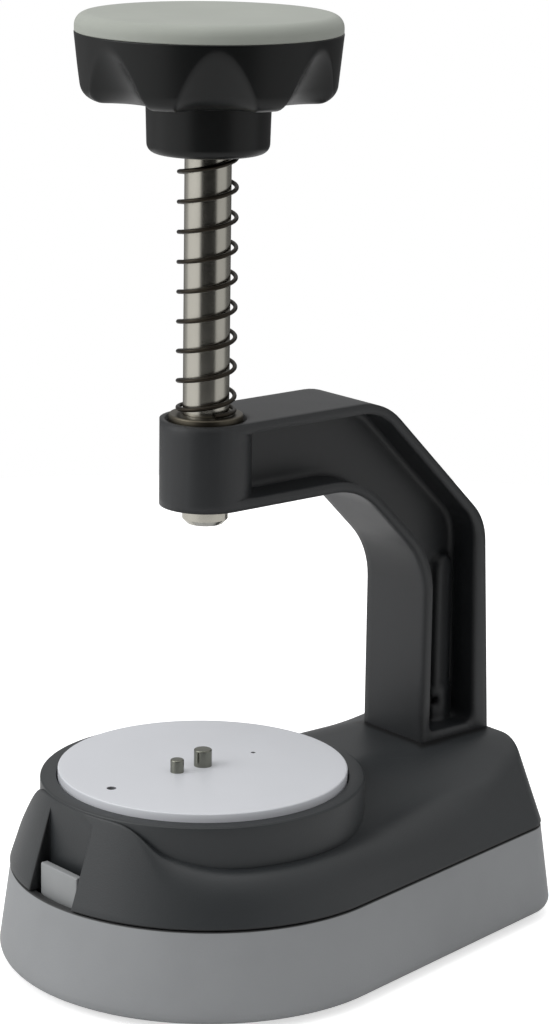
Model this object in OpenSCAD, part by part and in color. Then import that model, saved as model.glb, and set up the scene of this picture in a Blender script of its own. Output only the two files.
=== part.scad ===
// Watch rotor press: a sprung ram in the head of an I-section C-shaped arm presses onto a white
// work disc, which sits in a ring on a moulded housing that lifts off a storage tray.
// Heights are measured from the table. Plan sizes are measured from the ram's axis, the arm lies
// towards +Y, and the front notch is at -Y.

/* [Tray] */
// Thickness of the rubber feet below the tray
feet_h = 1; // [0.6:0.1:3]
// Diameter of each rubber foot
foot_d = 9; // [6:0.5:12]
// Height of the tray up to the seam
tray_h = 20.7; // [16:0.1:30]
// Radius of the tray's round nose at its widest
nose_r = 46.1; // [44:0.1:52]
// Distance of the nose's centre behind the ram axis
nose_y = 1.4; // [0:0.1:4]
// Rear face of the tray behind the ram axis
base_back = 82; // [80:0.1:95]
// Radius of the tray's rear corners
base_corner_r = 10.6; // [8:0.1:14]
// Half distance between the centres of the rear corners
base_corner_x = 22.8; // [18:0.1:26]
// How far the tray leans in from its widest level to the seam
tray_lean = 2.4; // [0.5:0.1:3]
// Wall of the tray at the seam
tray_wall = 2; // [1.4:0.1:3]
// Floor of the tray
tray_floor = 2.4; // [1.6:0.1:4]

/* [Housing] */
// Height of the white disc's top above the seam
disc_above_seam = 22.3; // [21:0.1:30]
// Depth of the middle ridge of the deck below the disc's top
deck_below_disc = 3.6; // [3:0.1:5]
// How far the shoulders fall below the ridge
shoulder_drop = 7.6; // [4:0.1:9]
// Half width of the flat ridge
ridge_half = 8; // [6:0.1:11]
// Distance from the middle where the shoulders turn level
shoulder_half = 34; // [28:0.1:38]
// Height of the waist, where the sloping walls are measured, above the seam
waist_h = 13.3; // [10:0.1:16]
// How far the nose leans in between the seam and the waist
waist_lean = 4; // [3.8:0.1:6]
// Half distance between the rear corner centres at the waist
waist_corner_x = 17; // [14:0.1:22]
// Radius of the rear corners at the waist
waist_corner_r = 7; // [5:0.1:9]
// Outer diameter of the ring that holds the disc
ring_d = 71.8; // [70:0.1:76]
// How far the disc stands proud of the ring
disc_proud = 1.7; // [0.5:0.1:2.5]
// Gap between the housing and the tray at the seam
seam_gap = 0.3; // [0.2:0.05:0.6]

/* [Latch] */
// Width of the notch at the front
notch_w = 15; // [12:0.5:18]
// How far the notch's back wall lies behind the front of the nose
notch_depth = 8.7; // [7:0.1:8.7]
// Width of the grey tongue
tongue_w = 13; // [9:0.5:14]
// Thickness of the tongue
tongue_t = 1.8; // [1.4:0.1:2]
// Height of the tongue's top above the seam
tongue_rise = 6.7; // [5:0.1:9]
// How far the tongue's face lies behind the front of the nose
tongue_set = 5.3; // [5.1:0.1:5.6]
// Diameter of the tongue's hinge bead
bead_d = 3; // [2.4:0.1:3.4]
// How far the bead's middle lies behind the middle of the tongue
bead_set = 0.5; // [0.4:0.1:0.8]

/* [Work disc] */
// Diameter of the white disc
disc_d = 64; // [60:0.1:66]
// Thickness of the white disc
disc_t = 5; // [4:0.1:6]
// Diameter of the centre pin
centre_pin_d = 4; // [3:0.1:6]
// Height of the centre pin above the disc
centre_pin_h = 3.8; // [2:0.1:6]
// Diameter of the locating pin
locating_pin_d = 3; // [2:0.1:4]
// Height of the locating pin above the disc
locating_pin_h = 2.9; // [1.5:0.1:5]
// Distance of the locating pin in front of the ram axis
locating_pin_y = 7.2; // [6:0.1:10]
// Diameter of the large spare hole
large_hole_d = 2; // [1:0.1:3]
// Distance of the large spare hole in front of the ram axis
large_hole_y = 25.2; // [20:0.1:28]
// Diameter of the small spare hole
small_hole_d = 0.9; // [0.6:0.1:2]
// Distance of the small spare hole behind the ram axis
small_hole_y = 14.4; // [10:0.1:24]
// Diameter of the steel anvil under the disc
anvil_d = 32; // [26:0.5:38]
// Thickness of the anvil
anvil_t = 10; // [7:0.5:11]

/* [Arm] */
// Width of the arm and column
arm_w = 20; // [16:0.5:24]
// Height of the arm's underside above the disc
throat_h = 59.7; // [50:0.1:75]
// Depth of the arm at the head
arm_depth = 18.9; // [16:0.1:24]
// Front face of the column behind the ram axis
column_front = 56.3; // [50:0.1:58]
// Rear face of the column, above its draft, behind the ram axis
column_back = 74.3; // [72:0.1:76]
// How far the column's rear face leans out down to the deck
column_draft = 2.6; // [1:0.1:3]
// Depth of the slanted part of the frame, measured square to it
slant_depth = 18.2; // [15:0.1:22]
// Where the slanted outer face, carried on, would meet the level of the arm's top, behind the ram
slant_start = 42.6; // [38:0.1:46]
// Thickness of the frame's flanges
flange_t = 2.2; // [1.6:0.1:3]
// Thickness of the frame's web
web_t = 3; // [2:0.1:5]
// Diameter of the screw boss on the web
boss_d = 6; // [5.4:0.1:8]
// Height of the screw boss above the deck
boss_h = 42; // [30:0.5:46]
// Depth of the socket that takes the column's foot
socket_depth = 8; // [5:0.1:9]
// Clearance round the column's foot in its socket
socket_clearance = 0.15; // [0.05:0.05:0.3]

/* [Ram] */
// Diameter of the ram
ram_d = 10; // [8:0.1:11]
// How far the ram's tip stands below the head
tip_below_head = 4.2; // [3:0.1:4.3]
// Radial running clearance of the ram in its bushes
ram_clearance = 0.04; // [0.02:0.01:0.08]
// Outer diameter of the bushes
bush_d = 13; // [12.6:0.1:14]
// Diameter of the upper bush's flange
flange_d = 16.1; // [15:0.1:16.6]
// Height of the flange above the head
flange_proud = 1.1; // [0.8:0.1:2.2]
// Diameter of the counterbore round the flange
counterbore_d = 17.8; // [17:0.1:18.2]
// Travel of the ram
ram_travel = 44; // [30:0.5:44]

/* [Spring] */
// Diameter of the spring's wire
wire_d = 0.95; // [0.6:0.05:1.2]
// Mean diameter of the spring's curls
curl_d = 12.2; // [11.8:0.1:12.6]
// Number of open curls
open_curls = 8.65; // [6:0.05:10]
// Height of the closed curl at each end, for each turn
closed_pitch = 1.5; // [1.4:0.05:2]
// Turns in the closed curl at each end
closed_curls = 1; // [0.5:0.25:1.5]
// Angle of the spring's lower end about the ram
spring_start = 340; // [0:1:360]

/* [Knob] */
// Height of the knob's neck, at its underside, above the arm's top
neck_above_arm = 57.25; // [57:0.05:75]
// Diameter of the neck
neck_d = 26.6; // [22:0.1:30]
// Height of the neck
neck_h = 11.2; // [8:0.1:14]
// Diameter of the knob at the cap
knob_d = 56.6; // [50:0.1:64]
// How much smaller the knob's radius is at its lower edge
knob_taper = 1.5; // [0.5:0.1:3]
// Height of the knob's black body above the neck
knob_h = 14.15; // [12.5:0.05:20]
// Radius of the knob's lower edge
knob_edge_r = 3.3; // [2:0.1:4.5]
// Number of scallops
scallops = 7; // [5:1:9]
// Angle of the first scallop about the ram
scallop_angle = -35; // [-90:1:90]
// Depth of a scallop at the knob's lower face
scallop_depth = 7; // [3:0.1:7.4]
// Radius of a scallop at the knob's lower face
scallop_r = 14; // [9:0.1:15]
// Radius of a scallop at its tip
scallop_tip_r = 12.5; // [3:0.1:13]
// Distance from the cap down to a scallop's tip
scallop_tip = 1.5; // [1:0.1:4]
// Thickness of the soft cap
cap_t = 3.85; // [2.8:0.05:5]
// Depth of the spring's seat inside the neck
spring_seat = 4.6; // [3:0.1:6]

/* [Hidden] */
$fn = 96;

// Clearance of pieces that are screwed or pressed together
fit = 0.05;
// Overshoot of every cut
cut = 1;

// Places that follow from the sizes above
ram_y = (nose_r - nose_y - base_back) / 2;
notch_back = nose_r - nose_y - notch_depth;
tongue_front = nose_r - nose_y - tongue_set;
seam_z = feet_h + tray_h;
housing_z = seam_z + seam_gap;
disc_z = seam_z + disc_above_seam;
deck_z = disc_z - deck_below_disc;
ring_z = disc_z - disc_proud;
recess_z = disc_z - disc_t;
waist_z = seam_z + waist_h;
base_corner_y = base_back - base_corner_r;
head_z = disc_z + throat_h;
arm_top = head_z + arm_depth;
foot_z = deck_z - socket_depth;
head_r = arm_w / 2;
neck_z = arm_top + neck_above_arm;
knob_z = neck_z + neck_h;
cap_z = knob_z + knob_h;

// Steps of the curved outlines
nose_steps = 20;
corner_steps = 6;
side_steps = 5;
back_steps = 4;

// Points on an arc round a centre, from one angle to another
function arc(c, r, from, to, steps) =
    [for (i = [0 : steps]) let (a = from + (to - from) * i / steps) c + r * [cos(a), sin(a)]];

// Points strictly between two points
function between(p, q, steps) = [for (i = [1 : steps - 1]) p + (q - p) * i / steps];

// Right half of the base's outline, from the front of its round nose to the middle of its back
function half_plan(front_r, corner_x, corner_y, corner_r) =
    let (
        dy = corner_y - nose_y,
        phi = atan2(dy, corner_x) - acos((front_r - corner_r) / norm([corner_x, dy])),
        nose = arc([0, nose_y], front_r, -90, phi, nose_steps),
        rear = arc([corner_x, corner_y], corner_r, phi, 90, corner_steps),
        middle = [0, corner_y + corner_r]
    )
    concat(nose, between(nose[nose_steps], rear[0], side_steps), rear,
        between(rear[corner_steps], middle, back_steps), [middle]);

// Plan outline of the base: a round nose, straight sides that draw in, and two rear corners
function plan(front_r, corner_x, corner_y, corner_r) =
    let (right = half_plan(front_r, corner_x, corner_y, corner_r))
    concat(right, [for (i = [len(right) - 2 : -1 : 1]) [-right[i][0], right[i][1]]]);

// The tray's outline at its widest, drawn in by an even distance
function base_plan(inset) =
    plan(nose_r - inset, base_corner_x, base_corner_y, base_corner_r - inset);

// A ring of the base at one height
function level(points, z) = [for (p = points) [p[0], p[1], z]];

// Closed surface through rings with equally many points, from the lowest ring to the highest
module loft(rings) {
    n = len(rings[0]);
    m = len(rings);
    sides = [for (j = [0 : m - 2]) for (i = [0 : n - 1])
        let (a = j * n + i, b = j * n + (i + 1) % n)
        each [[a, a + n, b], [b, a + n, b + n]]];
    floor_face = [[for (i = [0 : n - 1]) i]];
    roof_face = [[for (i = [n - 1 : -1 : 0]) (m - 1) * n + i]];
    polyhedron([for (r = rings) each r], concat(floor_face, sides, roof_face));
}

// Corner q of a path from p to s, rounded with an arc
function corner(p, q, s, r, steps) =
    r == 0 ? [q] :
    let (
        a = (p - q) / norm(p - q),
        b = (s - q) / norm(s - q),
        half = acos(a * b) / 2,
        c = q + (a + b) / norm(a + b) * r / sin(half),
        u = q + a * r / tan(half) - c,
        v = q + b * r / tan(half) - c,
        from = atan2(u[1], u[0]),
        turn = atan2(v[1], v[0]) - from
    )
    arc(c, r, from, from + (turn > 180 ? turn - 360 : turn < -180 ? turn + 360 : turn), steps);

// Closed path with its own radius at each corner
function rounded(points, radii, steps = 8) =
    let (n = len(points))
    [for (i = [0 : n - 1])
        each corner(points[(i + n - 1) % n], points[i], points[(i + 1) % n], radii[i], steps)];

// Puts its children at the ram's axis
module at_ram() {
    translate([0, ram_y, 0]) children();
}

// Straight round bar between two heights
module bar(d, from, to) {
    translate([0, 0, from]) cylinder(h = to - from, d = d);
}

// Solid of a profile turned round the ram's axis
module turned(points) {
    rotate_extrude() polygon(points);
}

// Place inside the nose at a distance from its edge and an angle, and inside the rear corner
function in_nose(inset, angle) = [0, nose_y] + (nose_r - inset) * [cos(angle), sin(angle)];
function in_rear(inset) = [base_corner_x, base_corner_y - inset];
function both_sides(places) = [for (p = places) for (side = [-1, 1]) [side * p[0], p[1]]];

// Tray with its lugs for the tongue
foot_places = both_sides([in_nose(12.4, -27.2), in_rear(5.4)]);
foot_sink = 1;
lug_x = tongue_w / 2 + 1.6;
lug_w = 3;
tongue_y = -tongue_front + tongue_t / 2;
bead_y = tongue_y + bead_set;
bead_z = feet_h + tray_floor + bead_d / 2 + 0.6;

module tray() {
    color([0.56, 0.57, 0.57]) at_ram() difference() {
        union() {
            difference() {
                loft([level(base_plan(2.4), feet_h), level(base_plan(1.1), feet_h + 0.4),
                    level(base_plan(0.3), feet_h + 1.4), level(base_plan(0), feet_h + 3.2),
                    level(base_plan(tray_lean), seam_z)]);
                loft([level(base_plan(tray_wall + 0.8), feet_h + tray_floor),
                    level(base_plan(tray_lean + tray_wall), seam_z + cut)]);
            }
            for (side = [-1, 1]) tray_lug(side);
        }
        for (p = foot_places) translate([p[0], p[1], 0]) bar(foot_d + 2 * fit, 0, feet_h + foot_sink);
    }
}

// Lug with the bore that the tongue's bead turns in
module tray_lug(side) {
    difference() {
        translate([side * (lug_x + lug_w / 2) - lug_w / 2, bead_y - 3.4, feet_h + tray_floor])
            cube([lug_w, 6.8, bead_z + bead_d / 2 + 1.2 - feet_h - tray_floor]);
        translate([0, bead_y, bead_z]) rotate([0, 90, 0])
            cylinder(h = 4 * lug_x, d = bead_d + 2 * fit, center = true);
    }
}

module rubber_feet() {
    color([0.10, 0.10, 0.10]) at_ram()
        for (p = foot_places) translate([p[0], p[1], 0]) bar(foot_d, 0, feet_h + foot_sink);
}

// Tongue: an upright plate on a bead, with a heel that stops it on the tray's floor
heel_l = 9;
heel_t = 1.2;
heel_gap = 0.7;

module latch_tongue() {
    color([0.66, 0.67, 0.67]) at_ram() translate([0, bead_y, 0]) {
        top = seam_z + tongue_rise;
        translate([0, tongue_y - bead_y, 0]) rotate([90, 0, 90]) linear_extrude(tongue_w, center = true)
            polygon(rounded([[-tongue_t / 2, bead_z], [tongue_t / 2, bead_z],
                [tongue_t / 2, top], [-tongue_t / 2, top]], [0, 0, 0.3, 0.5], 4));
        translate([0, 0, bead_z]) rotate([0, 90, 0])
            cylinder(h = 2 * (lug_x + lug_w - 0.2), d = bead_d, center = true);
        translate([-tongue_w / 2 + 1, 0, feet_h + tray_floor + heel_gap]) cube([tongue_w - 2, heel_l, heel_t]);
    }
}

// Housing: its deck is a ridge whose shoulders fall away and turn level
function ease(s) = let (t = max(0, min(1, s))) t * t * (3 - 2 * t);
function deck(x) = deck_z - shoulder_drop * ease((abs(x) - ridge_half) / (shoulder_half - ridge_half));

seam_proud = 0.3;
seam_outline = base_plan(tray_lean - seam_proud);
waist_outline = plan(nose_r - tray_lean - waist_lean, waist_corner_x, base_corner_y + 0.6,
    waist_corner_r);

// Point on the sloping wall of column i at height z
function on_wall(i, z) =
    let (s = (z - seam_z) / waist_h, p = seam_outline[i], q = waist_outline[i]) p + (q - p) * s;

// Height where the wall of column i meets the deck, by halving
function crest(i, low, high, steps) =
    let (mid = (low + high) / 2)
    steps == 0 ? mid :
    deck(on_wall(i, mid)[0]) > mid ? crest(i, mid, high, steps - 1) : crest(i, low, mid, steps - 1);

crest_r = 1.3;
deck_middle = [0, 24];
columns = [0 : len(seam_outline) - 1];
crests = [for (i = columns) crest(i, seam_z, deck_z + 1, 24)];
crest_plan = [for (i = columns) on_wall(i, crests[i])];

// Point that lies a share of the way from the deck's middle to the crest, less an inset
function on_deck(i, share, inset) =
    let (v = crest_plan[i] - deck_middle, p = deck_middle + v * (share - inset / norm(v)))
    [p[0], p[1], deck(p[0])];

module housing_form() {
    loft(concat(
        [level([for (i = columns) on_wall(i, housing_z) * 0.997], housing_z)],
        [level([for (i = columns) on_wall(i, housing_z + 0.6)], housing_z + 0.6)],
        [[for (i = columns) let (z = crests[i] - crest_r, p = on_wall(i, z)) [p[0], p[1], z]]],
        [[for (i = columns) let (p = on_deck(i, 1, 0.35)) [p[0], p[1], crests[i] - 0.35]]],
        [for (share = [1, 0.9, 0.78, 0.64, 0.48, 0.3, 0.12])
            [for (i = columns) on_deck(i, share, share == 1 ? crest_r : 0)]]));
}

plate_t = 2;
plate_z = housing_z + 1;
plate_inset = tray_lean + 4;
inside_z = plate_z + plate_t;
cavity_top = deck_z - shoulder_drop - 2;
anvil_z = recess_z - anvil_t;
anvil_boss_d = anvil_d + 8;
socket_w = arm_w + 2 * socket_clearance;
socket_front = column_front - socket_clearance;
socket_back = column_back + column_draft + socket_clearance;
plate_screw_places = both_sides([in_nose(11, -39.7), in_rear(35.7)]);
plate_screw_d = 3;

module housing() {
    color([0.20, 0.22, 0.23]) at_ram() difference() {
        union() {
            housing_form();
            turned(rounded([[0, seam_z + 6], [ring_d / 2, seam_z + 6], [ring_d / 2, ring_z], [0, ring_z]],
                [0, 0, 0.8, 0], 4));
        }
        bar(disc_d + 0.6, recess_z, disc_z + cut);
        bar(anvil_d + 2 * fit, anvil_z, disc_z);
        housing_cavity();
        column_socket();
        housing_notch();
        anvil_screw_holes();
        for (p = plate_screw_places) translate([p[0], p[1], 0])
            bar(plate_screw_d + 2 * fit, inside_z - cut, inside_z + 7);
    }
}

// Room inside the housing, round the anvil's boss, the column's block and the screw posts
module housing_cavity() {
    translate([0, 0, housing_z - cut]) linear_extrude(cut + inside_z - housing_z)
        polygon(base_plan(plate_inset - 0.15));
    translate([0, 0, inside_z - cut]) linear_extrude(cut + cavity_top - inside_z) difference() {
        polygon(base_plan(tray_lean + 5.5));
        circle(d = anvil_boss_d);
        translate([-socket_w / 2 - 3, socket_front - 3]) square([socket_w + 6, base_back]);
        translate([-notch_w / 2 - 3, -nose_r]) square([notch_w + 6, nose_r - notch_back + 3]);
        for (p = plate_screw_places) translate(p) circle(d = plate_screw_d + 6);
    }
}

// Socket for the column's foot, with the holes for its long screw
module column_socket() {
    translate([-socket_w / 2, socket_front, foot_z]) cube([socket_w, socket_back - socket_front, 40]);
    translate([0, boss_y, 0]) {
        bar(screw_d + 0.6, inside_z - cut, foot_z + cut);
        bar(washer_d + 1, inside_z - cut, screw_seat_z);
    }
}

// Notch at the front, where the tongue is pressed
module housing_notch() {
    translate([-notch_w / 2, -nose_r - cut, housing_z - cut])
        cube([notch_w, nose_r + cut - notch_back, deck_z]);
}

module base_plate() {
    color([0.45, 0.46, 0.48]) at_ram() translate([0, 0, plate_z]) linear_extrude(plate_t) difference() {
        polygon(base_plan(plate_inset));
        translate([-notch_w / 2 - 1, -nose_r]) square([notch_w + 2, nose_r - notch_back + 1]);
        for (p = plate_screw_places) translate(p) circle(d = plate_screw_d + 0.4);
    }
}

module base_plate_screws() {
    color([0.60, 0.60, 0.62]) at_ram() for (p = plate_screw_places) translate([p[0], p[1], 0]) {
        bar(plate_screw_d, plate_z - 0.5, inside_z + 6);
        bar(2 * plate_screw_d, plate_z - 1.8, plate_z);
    }
}

// Anvil: the steel block that takes the press's load below the disc
anvil_screw_d = 4;
anvil_screw_r = anvil_d / 2 - 5;
anvil_screw_seat = anvil_z - 1.2;

module at_anvil_screws() {
    for (i = [0 : 2]) rotate([0, 0, 30 + 120 * i]) translate([anvil_screw_r, 0, 0]) children();
}

module anvil_screw_holes() {
    at_anvil_screws() {
        bar(anvil_screw_d + 0.4, inside_z - cut, anvil_z + cut);
        bar(2 * anvil_screw_d, inside_z - cut, anvil_screw_seat);
    }
}

module anvil() {
    color([0.55, 0.56, 0.58]) at_ram() difference() {
        turned(rounded([[0, anvil_z], [anvil_d / 2, anvil_z], [anvil_d / 2, recess_z], [0, recess_z]],
            [0, 0.6, 0.6, 0], 2));
        at_anvil_screws() bar(anvil_screw_d + 2 * fit, anvil_z - cut, anvil_z + 6);
    }
}

module anvil_screws() {
    color([0.60, 0.60, 0.62]) at_ram() at_anvil_screws() {
        bar(anvil_screw_d, anvil_screw_seat - 1, anvil_z + 5.5);
        bar(2 * anvil_screw_d - 0.8, inside_z + 0.3, anvil_screw_seat);
    }
}

// Arm and column: one I-section frame in the shape of a C, seen here from the side
slant_sum = slant_start + arm_top;
inner_sum = slant_sum - slant_depth * sqrt(2);
back_foot = column_back + column_draft;
outer_top_r = 16;
outer_back_r = 13;
inner_r = 18;
pocket_floor = deck_z + 1.8;
boss_y = (column_front + column_back) / 2 + 2.9;

frame_outline = rounded(
    [[0, head_z], [inner_sum - head_z, head_z], [column_front, inner_sum - column_front],
        [column_front, foot_z], [back_foot, foot_z], [back_foot, deck_z],
        [column_back, slant_sum - column_back], [slant_start, arm_top], [0, arm_top]],
    [0, inner_r, inner_r, 0, 0, 0, outer_back_r, outer_top_r, 0]);

// Pocket beside the web: the frame's outline drawn in by the flanges
outer_pocket = slant_sum - flange_t * sqrt(2);
inner_pocket = inner_sum + flange_t * sqrt(2);
back_flange = flange_t + 0.6;

pocket_outline = rounded(
    [[0, head_z + flange_t], [inner_pocket - head_z - flange_t, head_z + flange_t],
        [column_front + flange_t, inner_pocket - column_front - flange_t],
        [column_front + flange_t, pocket_floor],
        [column_back + 0.4 * column_draft - back_flange, pocket_floor],
        [column_back - back_flange, outer_pocket - column_back + back_flange],
        [outer_pocket - arm_top + flange_t, arm_top - flange_t], [0, arm_top - flange_t]],
    [0, inner_r + flange_t, inner_r + flange_t, 2, 2, outer_back_r - flange_t,
        outer_top_r - flange_t, 0]);

// Extrudes a side view to an even width across the middle plane
module across(width) {
    rotate([90, 0, 90]) linear_extrude(width, center = true) children();
}

screw_d = 4;
washer_d = 9;
washer_t = 0.8;
screw_seat_z = inside_z + 5.4;
lower_recess_d = 16.6;
lower_recess_h = 3.3;
flange_t_bush = 2.6;
flange_seat = arm_top + flange_proud - flange_t_bush;

module column_arm() {
    color([0.17, 0.18, 0.19]) at_ram() difference() {
        union() {
            difference() {
                across(arm_w) polygon(frame_outline);
                for (side = [-1, 1]) translate([side * (arm_w + web_t) / 2, 0, 0])
                    across(arm_w) polygon(pocket_outline);
            }
            bar(arm_w, head_z, arm_top);
            column_boss();
        }
        bar(bush_d, head_z - cut, arm_top + cut);
        bar(lower_recess_d, head_z - cut, head_z + lower_recess_h);
        bar(counterbore_d, flange_seat, arm_top + cut);
        translate([0, boss_y, 0]) bar(screw_d + 2 * fit, foot_z - cut, deck_z + boss_h - boss_d / 2);
        for (side = [-1, 1]) translate([side * (boss_foot_d / 2 + 0.4), boss_y - 2.3, deck_z + 6.6])
            rotate([0, 90, 0]) cylinder(h = 4, d = 2.2, center = true);
    }
}

// Round boss up the web, with a domed top and a thicker foot
boss_foot_d = boss_d + 1.2;
boss_foot_h = 9.5;

module column_boss() {
    translate([0, boss_y, 0]) {
        bar(boss_d, deck_z, deck_z + boss_h - boss_d / 2);
        translate([0, 0, deck_z + boss_h - boss_d / 2]) sphere(d = boss_d);
        bar(boss_foot_d, deck_z, deck_z + boss_foot_h);
        translate([0, 0, deck_z + boss_foot_h])
            cylinder(h = (boss_foot_d - boss_d) / 2, d1 = boss_foot_d, d2 = boss_d);
    }
}

module column_screw() {
    color([0.60, 0.60, 0.62]) at_ram() translate([0, boss_y, 0]) {
        bar(screw_d, screw_seat_z - washer_t - 1, deck_z + boss_h - boss_d / 2 - 2);
        bar(7, screw_seat_z - washer_t - 3.4, screw_seat_z - washer_t);
    }
}

module column_washer() {
    color([0.66, 0.66, 0.68]) at_ram() translate([0, boss_y, 0]) difference() {
        bar(washer_d, screw_seat_z - washer_t, screw_seat_z);
        bar(screw_d + 0.4, screw_seat_z - washer_t - cut, screw_seat_z + cut);
    }
}

// Bushes in the head
lower_bush_h = 6.4;
upper_bush_gap = 1;
bush_bore = ram_d + 2 * ram_clearance;

module upper_bush() {
    color([0.36, 0.33, 0.27]) at_ram() difference() {
        union() {
            bar(bush_d, head_z + lower_recess_h + lower_bush_h + upper_bush_gap, flange_seat + 1);
            turned(rounded([[0, flange_seat], [flange_d / 2, flange_seat],
                [flange_d / 2, flange_seat + flange_t_bush], [0, flange_seat + flange_t_bush]],
                [0, 0, 0.35, 0], 3));
        }
        bar(bush_bore, head_z, arm_top + 10);
    }
}

module lower_bush() {
    color([0.36, 0.33, 0.27]) at_ram() difference() {
        bar(bush_d, head_z + lower_recess_h, head_z + lower_recess_h + lower_bush_h);
        bar(bush_bore, head_z, arm_top);
    }
}

// Ram with its chamfered tip, ring groove and tapped upper end
tip_z = head_z - tip_below_head;
tip_chamfer = 1.1;
ring_t = 1;
stop_t = 1;
ring_low = head_z + lower_recess_h - 0.3 - stop_t - 0.1 - ring_t;
groove_depth = 0.6;
ram_in_insert = 8;
ram_end = neck_z + spring_seat + ram_in_insert;
knob_screw_d = 5;
knob_screw_depth = 12;

module ram() {
    color([0.72, 0.70, 0.66]) at_ram() difference() {
        turned([[0, tip_z], [ram_d / 2 - tip_chamfer, tip_z], [ram_d / 2, tip_z + tip_chamfer], [ram_d / 2, ring_low - fit],
            [ram_d / 2 - groove_depth, ring_low - fit], [ram_d / 2 - groove_depth, ring_low + ring_t + fit],
            [ram_d / 2, ring_low + ring_t + fit], [ram_d / 2, ram_end - 0.5],
            [ram_d / 2 - 0.5, ram_end], [0, ram_end]]);
        bar(knob_screw_d + 2 * fit, ram_end - knob_screw_depth - 2, ram_end + cut);
    }
}

module retaining_ring() {
    color([0.25, 0.25, 0.26]) at_ram() translate([0, 0, ring_low]) rotate([0, 0, 105])
        rotate_extrude(angle = 330) translate([ram_d / 2 - groove_depth + fit, 0]) square([2.6, ring_t]);
}

module stop_washer() {
    color([0.80, 0.79, 0.74]) at_ram() difference() {
        bar(ram_d + 5, ring_low + ring_t + 0.1, ring_low + ring_t + 0.1 + stop_t);
        bar(ram_d + 2 * fit, ring_low, ring_low + 4);
    }
}

// Return spring: one wire in a right-handed helix, with a closed curl at each end
curl_steps = 8;
wire_sides = 6;
spring_low = flange_seat + flange_t_bush + wire_d / 2;
spring_high = neck_z + spring_seat - wire_d / 2;
spring_turns = open_curls + 2 * closed_curls;
open_pitch = (spring_high - spring_low - 2 * closed_curls * closed_pitch) / open_curls;

// Height of the wire's middle after a number of turns
function curl_z(turn) =
    spring_low + closed_pitch * min(turn, closed_curls)
    + open_pitch * max(0, min(turn - closed_curls, open_curls))
    + closed_pitch * max(0, turn - closed_curls - open_curls);

spring_rings = round(spring_turns * curl_steps);
function wire_at(i) =
    let (turn = spring_turns * i / spring_rings, a = spring_start + 360 * turn)
    [curl_d / 2 * cos(a), curl_d / 2 * sin(a), curl_z(turn)];

module return_spring() {
    middle = [for (i = [0 : spring_rings]) wire_at(i)];
    rings = [for (i = [0 : spring_rings])
        let (
            t = middle[min(i + 1, spring_rings)] - middle[max(i - 1, 0)],
            along = t / norm(t),
            out = [middle[i][0], middle[i][1], 0] / norm([middle[i][0], middle[i][1]]),
            side = out - along * (out * along),
            u = side / norm(side),
            v = cross(along, u)
        )
        [for (k = [0 : wire_sides - 1])
            let (a = 360 * k / wire_sides) middle[i] + wire_d / 2 * (u * cos(a) + v * sin(a))]];
    turn_rings = spring_rings / spring_turns;
    least = min([for (i = [0 : spring_rings - turn_rings])
        norm(middle[min(spring_rings, round(i + turn_rings))] - middle[i])]) - wire_d;
    echo(least_gap_between_curls = least);
    color([0.16, 0.15, 0.13]) at_ram() loft(rings);
}

// Knob: a turned body with conical scallops that run out below the cap
cap_groove_in = 38;
cap_groove_out = 46;
cap_groove_h = 2.5;
insert_d = 14;
insert_top = ram_end + 6;
head_well_d = 19;

module knob_body() {
    color([0.11, 0.12, 0.12]) at_ram() difference() {
        turned(rounded([[0, neck_z], [neck_d / 2 - 0.3, neck_z], [neck_d / 2, knob_z - 0.5],
            [neck_d / 2 + 0.5, knob_z], [knob_d / 2 - knob_taper - 0.2, knob_z], [knob_d / 2, cap_z],
            [0, cap_z]], [0, 2, 0, 0, knob_edge_r, 0.3, 0], 5));
        for (i = [0 : scallops - 1]) rotate([0, 0, scallop_angle + 360 * i / scallops]) scallop();
        bar(curl_d + wire_d + 1.6, neck_z - cut, neck_z + spring_seat);
        bar(insert_d, neck_z, insert_top);
        bar(head_well_d, insert_top, cap_z + cut);
        difference() {
            bar(cap_groove_out + 0.2, cap_z - cap_groove_h - 0.1, cap_z + cut);
            bar(cap_groove_in - 0.2, cap_z - cap_groove_h - cut, cap_z + 2 * cut);
        }
    }
}

// Cone whose inner side leaves the rim below the cap and is deepest at the knob's lower face
module scallop() {
    tip = [knob_d / 2, cap_z - scallop_tip];
    foot = [knob_d / 2 - scallop_depth, knob_z];
    along = (foot - tip) / norm(foot - tip);
    out = [-along[1], along[0]];
    top = tip + out * scallop_tip_r;
    low = foot + out * scallop_r;
    lean = atan2(low[0] - top[0], top[1] - low[1]);
    length = norm(low - top);
    grow = (scallop_r - scallop_tip_r) / length;
    translate([top[0], 0, top[1]]) rotate([0, 180 - lean, 0]) translate([0, 0, -6])
        cylinder(h = length + 10, r1 = scallop_tip_r - 6 * grow, r2 = scallop_r + 4 * grow);
}

module knob_insert() {
    color([0.72, 0.58, 0.30]) at_ram() difference() {
        bar(insert_d, neck_z + spring_seat, insert_top);
        bar(ram_d + 2 * fit, neck_z, ram_end);
        bar(knob_screw_d + 0.4, ram_end - cut, insert_top + cut);
    }
}

module knob_screw() {
    color([0.60, 0.60, 0.62]) at_ram() difference() {
        union() {
            bar(knob_screw_d, ram_end - knob_screw_depth, insert_top + 0.5);
            bar(2 * knob_screw_d, insert_top, insert_top + 3);
        }
        translate([0, 0, insert_top + 1]) cylinder(h = 4, d = 4.6, $fn = 6);
    }
}

module knob_cap() {
    color([0.68, 0.69, 0.66]) at_ram() difference() {
        union() {
            turned(rounded([[0, cap_z], [knob_d / 2 - 0.1, cap_z], [knob_d / 2 - 0.1, cap_z + cap_t],
                [knob_d / 2 - 9, cap_z + cap_t], [0, cap_z + cap_t - 0.4]], [0, 0.2, 2.4, 0, 0], 5));
            bar(cap_groove_out, cap_z - cap_groove_h, cap_z + 0.5);
        }
        bar(cap_groove_in, cap_z - cap_groove_h - cut, cap_z);
    }
}

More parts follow.
